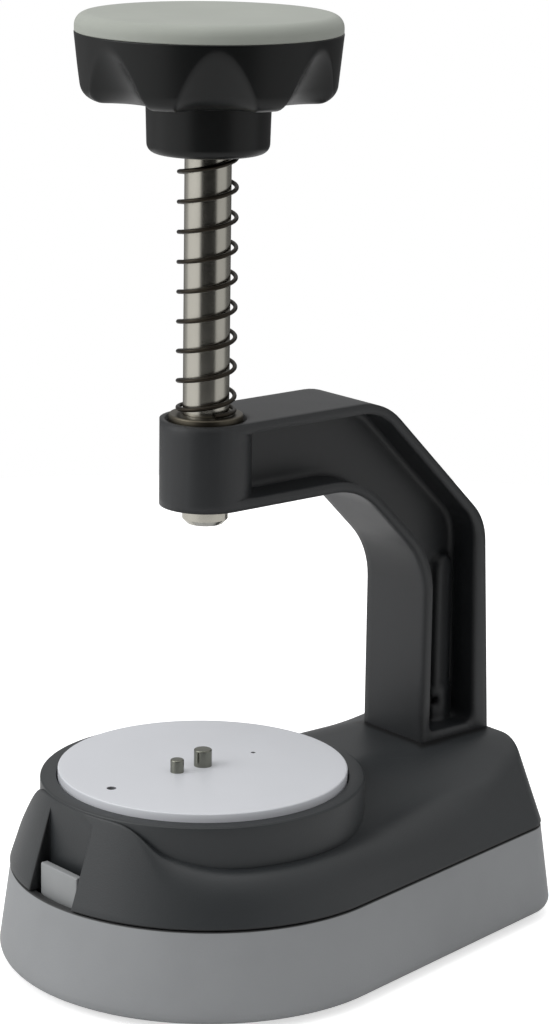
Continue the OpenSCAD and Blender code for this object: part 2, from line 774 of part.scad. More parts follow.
// White disc with its pins and spare holes
pin_depth = 4;
// The part of a pin in the disc is thinner, up to a small relief where the pin leaves it
pin_step = 0.3;
pin_relief = 0.15;
pin_sink = 0.3;

// Hole for a pin, with a shallow sink round its mouth
module pin_hole(d) {
    bar(d - 2 * pin_step, disc_z - pin_depth, disc_z + cut);
    bar(d + 2 * pin_sink, disc_z - pin_sink, disc_z + cut);
}

module work_disc() {
    color([0.85, 0.85, 0.87]) at_ram() difference() {
        turned(rounded([[0, recess_z], [disc_d / 2, recess_z], [disc_d / 2, disc_z], [0, disc_z]],
            [0, 0.3, 0.9, 0], 4));
        pin_hole(centre_pin_d);
        translate([0, -locating_pin_y, 0]) pin_hole(locating_pin_d);
        translate([0, -large_hole_y, 0]) bar(large_hole_d, recess_z - cut, disc_z + cut);
        translate([0, small_hole_y, 0]) bar(small_hole_d, recess_z - cut, disc_z + cut);
    }
}

// Pin with a small chamfer round its top
module pin(d, h) {
    turned([[0, disc_z - pin_depth], [d / 2 - pin_step, disc_z - pin_depth],
        [d / 2 - pin_step, disc_z + pin_relief], [d / 2, disc_z + pin_relief],
        [d / 2, disc_z + h - 0.3], [d / 2 - 0.3, disc_z + h], [0, disc_z + h]]);
}

module centre_pin() {
    color([0.62, 0.61, 0.57]) at_ram() pin(centre_pin_d, centre_pin_h);
}

module locating_pin() {
    color([0.62, 0.61, 0.57]) at_ram() translate([0, -locating_pin_y, 0])
        pin(locating_pin_d, locating_pin_h);
}

tray();
rubber_feet();
latch_tongue();
housing();
base_plate();
base_plate_screws();
anvil();
anvil_screws();
column_arm();
column_screw();
column_washer();
upper_bush();
lower_bush();
ram();
retaining_ring();
stop_washer();
return_spring();
knob_body();
knob_insert();
knob_screw();
knob_cap();
work_disc();
centre_pin();
locating_pin();
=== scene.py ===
import math
from functools import partial
from types import SimpleNamespace

import bmesh
import bpy
import numpy as np
from bpy.props import FloatProperty, FloatVectorProperty, IntProperty, PointerProperty
from mathutils import Matrix, Vector


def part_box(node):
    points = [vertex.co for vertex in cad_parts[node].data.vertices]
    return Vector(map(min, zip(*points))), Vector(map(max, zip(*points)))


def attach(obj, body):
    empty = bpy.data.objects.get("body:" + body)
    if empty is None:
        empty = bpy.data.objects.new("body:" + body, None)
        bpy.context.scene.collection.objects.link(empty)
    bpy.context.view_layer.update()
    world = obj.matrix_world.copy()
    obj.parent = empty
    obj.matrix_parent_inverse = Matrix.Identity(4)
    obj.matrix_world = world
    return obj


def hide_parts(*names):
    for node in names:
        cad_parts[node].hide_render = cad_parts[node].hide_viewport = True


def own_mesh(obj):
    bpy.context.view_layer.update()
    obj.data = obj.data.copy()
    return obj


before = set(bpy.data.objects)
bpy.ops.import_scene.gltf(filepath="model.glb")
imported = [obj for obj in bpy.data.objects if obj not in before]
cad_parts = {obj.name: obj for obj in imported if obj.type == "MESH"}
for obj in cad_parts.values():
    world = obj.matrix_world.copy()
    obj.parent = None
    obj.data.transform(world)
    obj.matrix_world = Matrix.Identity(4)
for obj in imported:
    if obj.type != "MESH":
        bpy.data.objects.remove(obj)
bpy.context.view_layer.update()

bl_info = {
    "name": "Watch Rotor Press",
    "version": (1, 0, 0),
    "blender": (4, 5, 0),
    "location": "3D View > Sidebar > Rotor Press",
    "description": "Builds the pieces, finishes and stage of a watch rotor press",
    "category": "Add Mesh",
}

MM = 0.001
REACH = 2e-6  # points nearer than this many metres are joined


def metres(value, description):
    """A length property."""
    return partial(FloatProperty, default=value, description=description, unit="LENGTH",
                   precision=5)


def length(millimetres, description):
    """A length property whose default is given in millimetres."""
    return metres(millimetres * MM, description)


def top(node, description):
    """A length property whose default is the height of a solid's top."""
    return metres(float(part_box(node)[1][2]), description)


def bottom(node, description):
    """A length property whose default is the height of a solid's underside."""
    return metres(float(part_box(node)[0][2]), description)


def middle(node, description):
    """A length property whose default is the place of a solid's middle along the press."""
    low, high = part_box(node)
    return metres(float(low[1] + high[1]) / 2, description)


def angle(degrees, description):
    """An angle property whose default is given in degrees."""
    return partial(FloatProperty, default=math.radians(degrees), description=description,
                   subtype="ANGLE")


def linear(red, green, blue):
    """A colour as a screen shows it, from 0 to 255, as the light it stands for."""
    shown = np.array([red, green, blue]) / 255.0
    light = np.where(shown <= 0.04045, shown / 12.92, ((shown + 0.055) / 1.055) ** 2.4)
    return tuple(light.tolist())


def colour(red, green, blue, description):
    """A colour property whose default is given as a screen shows it."""
    return partial(FloatVectorProperty, default=linear(red, green, blue), description=description,
                   subtype="COLOR", size=3, min=0.0, max=1.0)


def labelled(group):
    """Makes each property of a group, with a label made from its own name."""
    for name, make in group.__annotations__.items():
        group.__annotations__[name] = make(name=name.replace("_", " ").capitalize())
    return group


@labelled
class PressSizes(bpy.types.PropertyGroup):
    """Sizes of the pieces. Plan sizes are measured from the ram's axis, heights from the table."""

    ram_y: middle("ram", "Place of the ram's axis along the press")
    tray_low: bottom("tray", "Height of the tray's underside")
    seam: top("tray", "Height of the tray's rim")
    housing_low: bottom("housing", "Height of the housing's lower edge")
    ring_top: top("housing", "Height of the ring that holds the disc")
    disc_top: top("work_disc", "Height of the white disc's top")
    disc_low: bottom("work_disc", "Height of the white disc's underside")
    anvil_low: bottom("anvil", "Height of the anvil's underside")
    tongue_top: top("latch_tongue", "Height of the tongue's upper edge")
    tongue_low: bottom("latch_tongue", "Height of the tongue's lowest point")
    ram_low: bottom("ram", "Height of the ram's tip")
    ram_top: top("ram", "Height of the ram's upper end")
    flange_top: top("upper_bush", "Height of the upper bush's flange")
    flange_low: bottom("upper_bush", "Height of the upper bush's lower end")
    neck_low: bottom("knob_body", "Height of the knob's neck at its underside")
    cap_low: top("knob_body", "Height of the seam between the knob and its cap")
    cap_top: top("knob_cap", "Height of the cap's top")
    spring_low: bottom("return_spring", "Height of the spring's lower end")
    spring_high: top("return_spring", "Height of the spring's upper end")

    nose_radius: length(46.1, "Radius of the tray's round nose at its widest")
    nose_y: length(1.4, "Distance of the nose's centre behind the ram")
    corner_x: length(22.8, "Half distance between the centres of the rear corners")
    corner_y: length(71.4, "Distance of the rear corners' centres behind the ram")
    corner_radius: length(10.6, "Radius of the tray's rear corners")
    tray_lean: length(2.4, "How far the tray leans in up to the seam")
    tray_edge: length(3.0, "Rounding of the tray's lower edge")
    tray_wall: length(2.0, "Wall of the tray at the seam")
    tray_floor: length(2.4, "Floor of the tray")
    seam_proud: length(0.3, "How far the housing stands proud of the tray")
    waist_height: length(13.3, "Height of the waist above the seam")
    waist_lean: length(4.0, "How far the nose leans in up to the waist")
    waist_corner_x: length(17.0, "Half distance between the rear corner centres at the waist")
    waist_corner_step: length(0.6, "How far the corner centres lie back at the waist")
    waist_corner_radius: length(7.0, "Radius of the rear corners at the waist")
    deck_drop: length(3.6, "Depth of the middle ridge of the deck below the disc's top")
    shoulder_drop: length(7.6, "How far the shoulders fall below the ridge")
    ridge_half: length(8.0, "Half width of the flat ridge")
    ridge_spread: length(6.0, "How much wider the ridge is at the back on each side")
    shoulder_half: length(34.0, "Distance from the middle where the shoulders turn level")
    crest_round: length(7.0, "Reach of the rounding between the deck and the walls")
    crest_rear: length(2.6, "Reach of that rounding at the back")
    ring_radius: length(35.9, "Outer radius of the ring")
    ring_edge: length(0.5, "Rounding of the ring's outer edge")
    recess_radius: length(32.3, "Radius of the recess that holds the disc")
    anvil_radius: length(16.0, "Radius of the steel anvil")
    notch_half: length(7.5, "Half width of the notch at the front")
    notch_back: length(36.0, "Distance of the notch's back wall in front of the ram")
    notch_edge: length(0.5, "Rounding of the notch's upright edges")
    disc_radius: length(32.0, "Radius of the white disc")
    pin_radius: length(2.0, "Radius of the centre pin")
    pin_height: length(3.8, "Height of the centre pin above the disc")
    small_pin_radius: length(1.5, "Radius of the locating pin")
    small_pin_height: length(2.9, "Height of the locating pin above the disc")
    small_pin_y: length(7.2, "Distance of the locating pin in front of the ram")
    large_hole_radius: length(1.0, "Radius of the large spare hole")
    large_hole_y: length(25.2, "Distance of the large spare hole in front of the ram")
    small_hole_radius: length(0.45, "Radius of the small spare hole")
    small_hole_y: length(14.4, "Distance of the small spare hole behind the ram")
    tongue_half: length(6.5, "Half width of the tongue")
    tongue_front: length(39.4, "Distance of the tongue's face in front of the ram")
    tongue_thick: length(1.8, "Thickness of the tongue")
    bead_z: length(5.5, "Height of the tongue's hinge bead")
    bead_set: length(0.5, "How far the hinge bead stands back in the tongue")
    bead_radius: length(1.5, "Radius of the tongue's hinge bead")
    bead_half: length(10.9, "Half length of the tongue's hinge bead")
    ram_radius: length(5.0, "Radius of the ram")
    bush_radius: length(6.5, "Outer radius of the bushes")
    flange_radius: length(8.05, "Radius of the upper bush's flange")
    flange_thick: length(2.6, "Thickness of the upper bush's flange")
    wire_radius: length(0.475, "Radius of the spring's wire")
    curl_radius: length(6.1, "Mean radius of the spring's curls")
    closed_pitch: length(1.0, "Height of the closed curl at each end")
    open_curls: partial(FloatProperty, default=8.65, description="Number of the open curls")
    spring_start: angle(340, "Angle of the spring's lower end about the ram")
    neck_radius: length(13.3, "Radius of the knob's neck")
    neck_edge: length(2.0, "Rounding of the neck's lower edge")
    neck_height: length(11.2, "Height of the knob's neck")
    knob_radius: length(28.3, "Radius of the knob at the cap")
    knob_taper: length(1.5, "How much smaller the knob's radius is at its lower edge")
    knob_edge: length(3.3, "Rounding of the knob's lower edge")
    scallop_tip: length(1.5, "Distance from the cap down to a scallop's tip")
    scallop_depth: length(7.0, "Depth of a scallop at the knob's lower face")
    scallop_radius: length(14.0, "Radius of a scallop at the knob's lower face")
    scallop_tip_radius: length(12.5, "Radius of a scallop at its tip")
    scallop_edge: length(0.6, "Rounding where a scallop meets the knob's side")
    scallops: partial(IntProperty, default=7, description="Number of scallops round the knob")
    scallop_angle: angle(-35, "Angle of the first scallop about the ram")
    spring_seat: length(4.6, "Depth of the spring's seat inside the neck")
    cap_edge: length(2.7, "Rounding of the cap's edge")
    foot_half: length(10.0, "Half width of the column's foot")
    foot_front: length(56.3, "Distance of the foot's front behind the ram")
    foot_back: length(76.9, "Distance of the foot's back behind the ram")
    arm_edge: length(0.8, "Rounding of the arm's edges")
    boss_back: length(68.2, "Distance of the screw boss behind the ram")
    boss_radius: length(3.0, "Radius of the screw boss in its solid")
    boss_bore_top: length(79.4, "Height at which the bore in the boss ends")
    boss_proud: length(0.7, "How far the boss stands out further than its solid")
    web_half: length(1.5, "Half thickness of the web that carries the boss")


@labelled
class PressColours(bpy.types.PropertyGroup):
    """Colours of the finishes."""

    housing: colour(40, 43, 45, "Dark slate plastic of the housing")
    arm: colour(29, 31, 33, "Dark grey of the arm and column")
    tray: colour(142, 144, 146, "Grey plastic of the tray")
    tongue: colour(142, 144, 145, "Light grey plastic of the tongue")
    knob: colour(5, 7, 7, "Black plastic of the knob")
    cap: colour(157, 161, 153, "Soft grey of the knob's cap")
    disc: colour(214, 216, 221, "White plastic of the work disc")
    steel: colour(190, 187, 177, "Nickel bright steel of the ram and the pins")
    pin: colour(126, 127, 118, "Greenish grey steel of the pins")
    bronze: colour(96, 91, 80, "Dark oiled bronze of the bushes")
    wire: colour(52, 48, 42, "Dark oiled wire of the spring")
    zinc: colour(176, 176, 178, "Plated screws and plates")
    black_steel: colour(40, 40, 42, "Blackened steel of the retaining ring")
    nylon: colour(226, 222, 208, "Natural nylon of the stop washer")
    brass: colour(200, 168, 96, "Turned brass of the insert")
    rubber: colour(32, 32, 33, "Black rubber of the feet")


def sizes():
    """The sizes by name, in millimetres; angles are in radians and counts as they are."""
    group = bpy.context.scene.press_sizes
    plain = ("open_curls", "spring_start", "scallops", "scallop_angle")
    return SimpleNamespace(**{name: getattr(group, name) * (1 if name in plain else 1000)
                              for name in PressSizes.__annotations__})


def paint(name):
    """A colour of the press as red, green, blue and alpha."""
    return (*getattr(bpy.context.scene.press_colours, name), 1.0)


# Finishes


class Signal:
    """A number that a shader node gives, so that shader maths is written as an expression."""

    def __init__(self, nodes, socket):
        self.nodes = nodes
        self.socket = socket

    def join(self, operation, first, second):
        """What a maths node makes of two numbers."""
        node = self.nodes.add("ShaderNodeMath", {"operation": operation}, {0: first, 1: second})
        return Signal(self.nodes, node.outputs[0])

    def __add__(self, other):
        return self.join("ADD", self, other)

    def __sub__(self, other):
        return self.join("SUBTRACT", self, other)

    def __rsub__(self, other):
        return self.join("SUBTRACT", other, self)

    def __mul__(self, other):
        return self.join("MULTIPLY", self, other)

    def size(self):
        """The number without its sign."""
        return self.join("ABSOLUTE", self, 0.0)

    def larger(self, other):
        """The larger of this number and another."""
        return self.join("MAXIMUM", self, other)

    def between(self, low, high):
        """0 below low, 1 above high, and smooth between them."""
        node = self.nodes.add("ShaderNodeMapRange", {"interpolation_type": "SMOOTHSTEP"},
                              {"Value": self, "From Min": low, "From Max": high})
        return Signal(self.nodes, node.outputs[0])


class Nodes:
    """The node tree of a material or a world, with one way to add any node."""

    def __init__(self, owner):
        owner.use_nodes = True
        self.tree = owner.node_tree

    def fill(self, socket, value):
        """Sets a socket, or links it to a signal or to another node's socket."""
        if isinstance(value, Signal):
            value = value.socket
        if isinstance(value, bpy.types.NodeSocket):
            self.tree.links.new(value, socket)
        else:
            socket.default_value = value

    def add(self, kind, settings=None, values=None):
        """Adds a node: its settings first and then its sockets."""
        node = self.tree.nodes.new(kind)
        for name, value in (settings or {}).items():
            setattr(node, name, value)
        for socket, value in (values or {}).items():
            self.fill(node.inputs[socket], value)
        return node


class Finish(Nodes):
    """A material with a principled shader, and short ways to vary it."""

    def __init__(self, name, base, roughness, metallic=0.0, **constants):
        self.material = bpy.data.materials.new(name)
        super().__init__(self.material)
        self.shader = self.tree.nodes["Principled BSDF"]
        self.material.diffuse_color = base
        self.set("Base Color", base)
        self.set("Roughness", roughness)
        self.set("Metallic", metallic)
        for socket, value in constants.items():
            self.set(socket.replace("_", " "), value)
        self.place = self.add("ShaderNodeTexCoord").outputs["Object"]

    def set(self, socket, value):
        """Sets or links one socket of the shader."""
        self.fill(self.shader.inputs[socket], value)

    def noise(self, size, detail, roughness, stretch=None):
        """Noise from 0 to 1 whose lumps have that size in millimetres."""
        where = self.place
        if stretch:
            mapping = self.add("ShaderNodeMapping", None, {"Vector": where, "Scale": stretch})
            where = mapping.outputs[0]
        values = {"Vector": where, "Scale": 1 / (size * MM), "Detail": detail,
                  "Roughness": roughness}
        return Signal(self, self.add("ShaderNodeTexNoise", None, values).outputs["Fac"])

    def along(self, axis, offset=0.0):
        """Distance along x, y or z in millimetres, less an offset."""
        node = self.add("ShaderNodeSeparateXYZ", None, {0: self.place})
        return Signal(self, node.outputs[axis]) * (1 / MM) - offset

    def mix(self, factor, first, second):
        """A colour between two, by a factor."""
        values = {"Factor": factor, 6: first, 7: second}
        return self.add("ShaderNodeMix", {"data_type": "RGBA"}, values).outputs[2]

    def edges(self):
        """1 on sharp outer edges and 0 elsewhere."""
        geometry = self.add("ShaderNodeNewGeometry")
        return Signal(self, geometry.outputs["Pointiness"]).between(0.52, 0.6)

    def done(self, tone, roughness, height=None, millimetres=0.0, soft=0.0):
        """Puts in the colour and the roughness, and raises the surface by a height from 0 to 1
        times that many millimetres. With soft, corners are shaded as if rounded by that many."""
        self.set("Base Color", tone)
        self.set("Roughness", roughness)
        if millimetres:
            values = {"Height": height, "Strength": 1.0, "Distance": millimetres * MM}
            if soft:
                bevel = self.add("ShaderNodeBevel", {"samples": 6}, {"Radius": soft * MM})
                values["Normal"] = bevel.outputs[0]
            self.set("Normal", self.add("ShaderNodeBump", None, values).outputs[0])
        return self.material


def shade(base, factor):
    """A colour made lighter or darker."""
    return (*(min(1.0, c * factor) for c in base[:3]), 1.0)


def moulded(name, base, roughness=0.5, grain=0.35, depth=0.02, wear=0.25, painted_shade=None, index=1.5):
    """Moulded plastic: an even fine grain, faint cloudy tone, edges rubbed a little smoother, and
    painted shade, dark where a function of the finish marks shadow in a gap or corner."""
    finish = Finish(name, base, roughness, IOR=index)
    cloud = finish.noise(28.0, 3.0, 0.55)
    grains = finish.noise(grain, 2.0, 0.6)
    rub = finish.edges()
    tone = finish.mix(cloud.between(0.25, 0.75), shade(base, 0.94), shade(base, 1.05))
    tone = finish.mix(rub * wear, tone, shade(base, 1.5))
    # Painted shade: where the mask is high the colour goes almost black, standing in for shadow in
    # a gap or corner.
    if painted_shade:
        tone = finish.mix(painted_shade(finish), tone, shade(base, 0.08))
    sheen = cloud * 0.08 + (roughness - 0.04) + grains * 0.06 - rub * 0.06
    return finish.done(tone, sheen, grains, depth)


def polished(name, base, roughness=0.32):
    """Smooth hard plastic: only its sheen varies, in faint clouds."""
    finish = Finish(name, base, roughness, IOR=1.5)
    cloud = finish.noise(18.0, 2.0, 0.5)
    tone = finish.mix(cloud.between(0.25, 0.75), shade(base, 0.985), shade(base, 1.01))
    return finish.done(tone, cloud * 0.06 + (roughness - 0.03))


def painted(name, base, roughness=0.38, soft=2.5):
    """Satin paint over a casting: slight waves of the casting, fine speckle, edges worn lighter,
    and corners shaded as if rounded by the soft radius."""
    finish = Finish(name, base, roughness, IOR=1.5)
    wave = finish.noise(9.0, 2.0, 0.5)
    speckle = finish.noise(0.5, 3.0, 0.65)
    tone = finish.mix(wave.between(0.3, 0.7), shade(base, 0.93), shade(base, 1.06))
    tone = finish.mix(finish.edges() * 0.3, tone, shade(base, 1.8))
    sheen = wave * 0.06 + (roughness - 0.05) + speckle * 0.08
    return finish.done(tone, sheen, speckle * 0.6 + wave * 0.4, 0.03, soft)


def ground(name, base, roughness=0.2, stretch=(1.0, 1.0, 0.02), dirt=0.2, depth=0.002):
    """Ground or turned metal: fine scratches along one way and faint darker patches."""
    finish = Finish(name, base, roughness, 1.0)
    scratch = finish.noise(0.12, 3.0, 0.7, stretch)
    patch = finish.noise(6.0, 3.0, 0.6)
    tone = finish.mix(patch.between(0.45, 0.8) * dirt, base, shade(base, 0.6))
    return finish.done(tone, scratch * 0.1 + (roughness - 0.05) + patch * 0.06, scratch, depth)


def rubbery(name, base, roughness=0.7, grain=0.25):
    """Soft rubber: matt, with a very fine even grain and a little dust."""
    finish = Finish(name, base, roughness, IOR=1.45, Sheen_Weight=0.1, Sheen_Roughness=0.6)
    grains = finish.noise(grain, 2.0, 0.5)
    dust = finish.noise(14.0, 4.0, 0.6)
    tone = finish.mix(dust.between(0.35, 0.8), base, shade(base, 1.07))
    return finish.done(tone, dust * 0.08 + (roughness - 0.06) + grains * 0.05, grains, 0.012)


# Shapes


def ease(value):
    """Smooth step from 0 to 1: three squares less two cubes of the value, held between 0 and 1."""
    t = np.clip(value, 0.0, 1.0)
    return t * t * (3 - 2 * t)


def part_way(low, high, share):
    """The value that lies that share of the way from low to high."""
    return low + (high - low) * share


def shares(steps):
    """Even shares of a stretch, from the first step up to 1."""
    return np.linspace(0, 1, steps + 1)[1:]


def quarter(radius, steps):
    """Offsets along a rounding: its radius times one less the cosine, and times one less the
    sine."""
    turn = np.linspace(0, np.pi / 2, steps)
    return radius * (1 - np.cos(turn)), radius * (1 - np.sin(turn))


def arc(centre, radius, start, end, steps):
    """Points on an arc round a centre, from one angle to another."""
    a = np.linspace(start, end, steps + 1)
    return np.stack([centre[0] + radius * np.cos(a), centre[1] + radius * np.sin(a)], axis=1)


def rounded(points, radii, steps):
    """Open path whose inner corners are arcs: each arc touches both legs at the radius over the
    tangent of half the corner's angle."""
    points = np.asarray(points, float)
    path = [points[:1]]
    for before, corner, after, radius in zip(points, points[1:], points[2:], radii):
        if radius == 0:
            path.append(corner[None])
            continue
        a = (before - corner) / np.linalg.norm(before - corner)
        b = (after - corner) / np.linalg.norm(after - corner)
        half = math.acos(float(np.clip(a @ b, -1, 1))) / 2
        centre = corner + (a + b) / np.linalg.norm(a + b) * radius / math.sin(half)
        u = corner + a * radius / math.tan(half) - centre
        v = corner + b * radius / math.tan(half) - centre
        start = math.atan2(u[1], u[0])
        turn = (math.atan2(v[1], v[0]) - start + math.pi) % (2 * math.pi) - math.pi
        path.append(arc(centre, radius, start, start + turn, steps))
    path.append(points[-1:])
    return np.concatenate(path)


def put(name, data):
    """Puts a mesh, a camera or a lamp in the scene."""
    made = bpy.data.objects.new(name, data)
    bpy.context.scene.collection.objects.link(made)
    return made


def tidy(mesh, flat=0.0):
    """Joins points that meet, turns all faces outwards, and drops faces without area. With flat, it
    joins instead the faces that lie within that many degrees of each other."""
    work = bmesh.new()
    work.from_mesh(mesh)
    bmesh.ops.remove_doubles(work, verts=work.verts, dist=REACH)
    if flat:
        bmesh.ops.dissolve_limit(work, angle_limit=math.radians(flat), verts=work.verts,
                                 edges=work.edges)
    else:
        bmesh.ops.dissolve_degenerate(work, edges=work.edges, dist=REACH)
    bmesh.ops.recalc_face_normals(work, faces=work.faces)
    work.to_mesh(mesh)
    work.free()
    mesh.polygons.foreach_set("use_smooth", np.ones(len(mesh.polygons), bool))


def grid_faces(rows, columns):
    """Quads between the neighbours of a grid whose rows are closed rings, numbered row by row."""
    i, j = np.meshgrid(np.arange(rows - 1) * columns, np.arange(columns), indexing="ij")
    right = (j + 1) % columns
    quads = np.stack([i + j, i + right, i + columns + right, i + columns + j], -1)
    return quads.reshape(-1, 4).tolist()


def mesh_object(name, grid, smooth=32.0, ends=()):
    """Makes a closed mesh from a grid of points in millimetres from the ram's axis, whose rows are
    rings, and shades it smooth up to an angle."""
    points = (grid + [0, bpy.context.scene.press_sizes.ram_y * 1000, 0]) * MM
    mesh = bpy.data.meshes.new(name)
    mesh.from_pydata(points.reshape(-1, 3).tolist(), [], grid_faces(*grid.shape[:2]) + [*ends])
    tidy(mesh)
    mesh.set_sharp_from_angle(angle=math.radians(smooth))
    return put(name, mesh)


def turned(name, profile, steps, y=0.0):
    """A profile of radius and height, turned round an upright axis: x and y are the radius times
    the cosine and sine of the angle."""
    a = np.arange(steps) * 2 * np.pi / steps
    r, z = np.asarray(profile, float).T[:, :, None]
    return mesh_object(name, np.stack([r * np.cos(a), y + r * np.sin(a), z + 0 * a], -1))


def prism(name, outline, low, high, edge=0.3):
    """A side view in y and z, carried across from low to high along x, with rounded rims: towards
    each end the outline is drawn in by the edge radius times one less the sine."""
    outline = np.asarray(outline, float)
    ahead, behind = np.roll(outline, -1, 0) - outline, outline - np.roll(outline, 1, 0)
    ahead /= np.linalg.norm(ahead, axis=1, keepdims=True)
    behind /= np.linalg.norm(behind, axis=1, keepdims=True)
    normal = np.stack([-(ahead + behind)[:, 1], (ahead + behind)[:, 0]], 1)
    normal *= 2 / (normal ** 2).sum(1, keepdims=True)
    across, inset = quarter(edge, 5)
    xs = np.concatenate([low + across, (high - across)[::-1]])
    rings = outline + normal * np.concatenate([inset, inset[::-1]])[:, None, None]
    points = np.concatenate([np.broadcast_to(xs[:, None, None], (*rings.shape[:2], 1)), rings], -1)
    count, last = len(outline), (len(xs) - 1) * len(outline)
    ends = [*range(count)], [*range(last, last + count)]
    return mesh_object(name, points, ends=ends)


def tube(name, path, radius, sides=14):
    """A round wire along a path: at each point a circle lies across the path's direction, with one
    of its axes kept level outwards from the ram."""
    along = np.gradient(path, axis=0)
    along /= np.linalg.norm(along, axis=1, keepdims=True)
    out = path * [1, 1, 0]
    out /= np.linalg.norm(out, axis=1, keepdims=True)
    out -= along * (out * along).sum(1, keepdims=True)
    out /= np.linalg.norm(out, axis=1, keepdims=True)
    up = np.cross(along, out)
    a = np.arange(sides) * 2 * np.pi / sides
    circle = out[:, None] * np.cos(a)[None, :, None] + up[:, None] * np.sin(a)[None, :, None]
    start, end = np.repeat(path[:1, None], sides, 1), np.repeat(path[-1:, None], sides, 1)
    return mesh_object(name, np.concatenate([start, path[:, None] + circle * radius, end]), 60.0)


# Outline of the base: a round nose, straight sides that draw in, and two rear corners

NOSE, SIDE, REAR, BACK = range(4)
STEPS = (71, 41, 24, 21)  # columns along each stretch, the front ones apart
FRONT_HALF = 14.0  # half width of the front, whose columns keep their distance from the middle
NOSE_END = 0.19  # angle about the nose's centre at which its columns end
FADE = (0.34, 0.5)  # angle from the front at which that distance gives way, and over how much
MIDDLE_Y = 20.0  # how far behind the ram the middle of the underside and of the tray's floor lies
LIP = 0.4  # rounding of the tray's rim and of the housing's lower edge
REAR_RIDGE = (58, 14)  # how far behind the ram the ridge starts to widen, and over how much
REAR_CREST = (52, 12)  # how far behind the ram the crest's rounding changes, and over how much


def base_columns(s, notch):
    """The outline's columns: which stretch each lies on, its share of that stretch, whether it lies
    in the notch, how far the notch's edge draws it in, and its side. Near the front a column keeps
    its distance from the middle at every height."""
    if notch:
        n, e = s.notch_half, s.notch_edge
        step, drawn = quarter(e, 5)
        inner = np.array([0.0, 0.2, 0.4, 0.6, 0.8, 0.95, 1.0]) * n
        outer = part_way(n + e, FRONT_HALF, shares(6))
        xs = np.concatenate([inner, n + step, outer])
        in_notch = np.arange(len(xs)) < len(inner)
        inset = np.concatenate([0 * inner, drawn, 0 * outer])
    else:
        xs = np.linspace(0, FRONT_HALF, 15)
        in_notch, inset = np.zeros(len(xs), bool), 0 * xs
    reach = math.asin(FRONT_HALF / s.nose_radius)
    nose = np.concatenate([np.arcsin(xs / s.nose_radius),
                           np.linspace(reach, NOSE_END + np.pi / 2, STEPS[NOSE] + 1)[1:]])
    parts = [nose / (NOSE_END + np.pi / 2), *(shares(STEPS[k]) for k in (SIDE, REAR, BACK))]
    stretch = np.concatenate([np.full(len(v), k) for k, v in enumerate(parts)])
    share = np.concatenate(parts)
    extra = len(share) - len(xs)
    in_notch = np.concatenate([in_notch, np.zeros(extra, bool)])
    inset = np.concatenate([inset, np.zeros(extra)])
    back = slice(len(share) - 2, 0, -1)
    mirror = [np.concatenate([v, v[back]]) for v in (stretch, share, in_notch, inset)]
    side = np.concatenate([np.ones(len(share)), -np.ones(len(share) - 2)])
    return (*mirror, side)


def base_outline(s, columns, nose_r, corner_x, corner_y, corner_r):
    """Plan points of the outline. The nose and the rear corners are arcs, and the sides are the
    lines that touch both. All sizes may vary over the grid."""
    stretch, share, _, _, side = (v[:, None] for v in columns)
    dy = corner_y - s.nose_y
    phi = np.arctan2(dy, corner_x) - np.arccos((nose_r - corner_r) / np.hypot(corner_x, dy))
    even = -np.pi / 2 + share * (phi + np.pi / 2)
    wide = -np.pi / 2 + share * (NOSE_END + np.pi / 2)
    straight = -np.arccos(np.clip(s.nose_radius * np.cos(wide) / nose_r, -1, 1))
    keep = 1 - ease((wide + np.pi / 2 - FADE[0]) / FADE[1])
    a = np.where(keep > 0, keep * straight + (1 - keep) * even, even)
    nose = nose_r * np.cos(a), s.nose_y + nose_r * np.sin(a)
    start = nose_r * np.cos(phi), s.nose_y + nose_r * np.sin(phi)
    end = corner_x + corner_r * np.cos(phi), corner_y + corner_r * np.sin(phi)
    line = part_way(start[0], end[0], share), part_way(start[1], end[1], share)
    b = phi + share * (np.pi / 2 - phi)
    rear = corner_x + corner_r * np.cos(b), corner_y + corner_r * np.sin(b)
    back = corner_x * (1 - share), corner_y + corner_r + 0 * share
    on = [stretch == NOSE, stretch == SIDE, stretch == REAR]
    x, y = (np.select(on, [nose[k], line[k], rear[k]], back[k]) for k in (0, 1))
    return x * side, y


def drawn_in(s, columns, inset):
    """The tray's widest outline, drawn in by an even distance."""
    return base_outline(s, columns, s.nose_radius - inset, s.corner_x + 0 * inset,
                        s.corner_y + 0 * inset, s.corner_radius - inset)


def wall_at(s, columns, z):
    """Plan points of the housing's sloping wall at a height: every size of the outline runs in a
    straight line from its value at the seam to its value at the waist."""
    run = partial(part_way, share=(z - s.seam) / s.waist_height)
    lean = s.tray_lean - s.seam_proud
    return base_outline(
        s, columns, run(s.nose_radius - lean, s.nose_radius - s.tray_lean - s.waist_lean),
        run(s.corner_x, s.waist_corner_x), run(s.corner_y, s.corner_y + s.waist_corner_step),
        run(s.corner_radius - lean, s.waist_corner_radius))


def deck_height(s, x, y):
    """Height of the deck: a flat ridge, wider behind the column, whose shoulders fall by a smooth
    step and turn level."""
    half = s.ridge_half + s.ridge_spread * ease((y - REAR_RIDGE[0]) / REAR_RIDGE[1])
    fall = ease((np.abs(x) - half) / (s.shoulder_half - half))
    return s.disc_top - s.deck_drop - s.shoulder_drop * fall


def halve(low, high, above, steps=40):
    """Height at which a test turns from true to false, by halving, for every column at once."""
    for _ in range(steps):
        middle = (low + high) / 2
        hit = above(middle)
        low, high = np.where(hit, middle, low), np.where(hit, high, middle)
    return (low + high) / 2


def stack(*rows):
    """Joins plan points and heights into one grid, whose rows are rings round the base."""
    grid = np.concatenate([np.stack(np.broadcast_arrays(*row), -1) for row in rows], 1)
    return grid.swapaxes(0, 1)


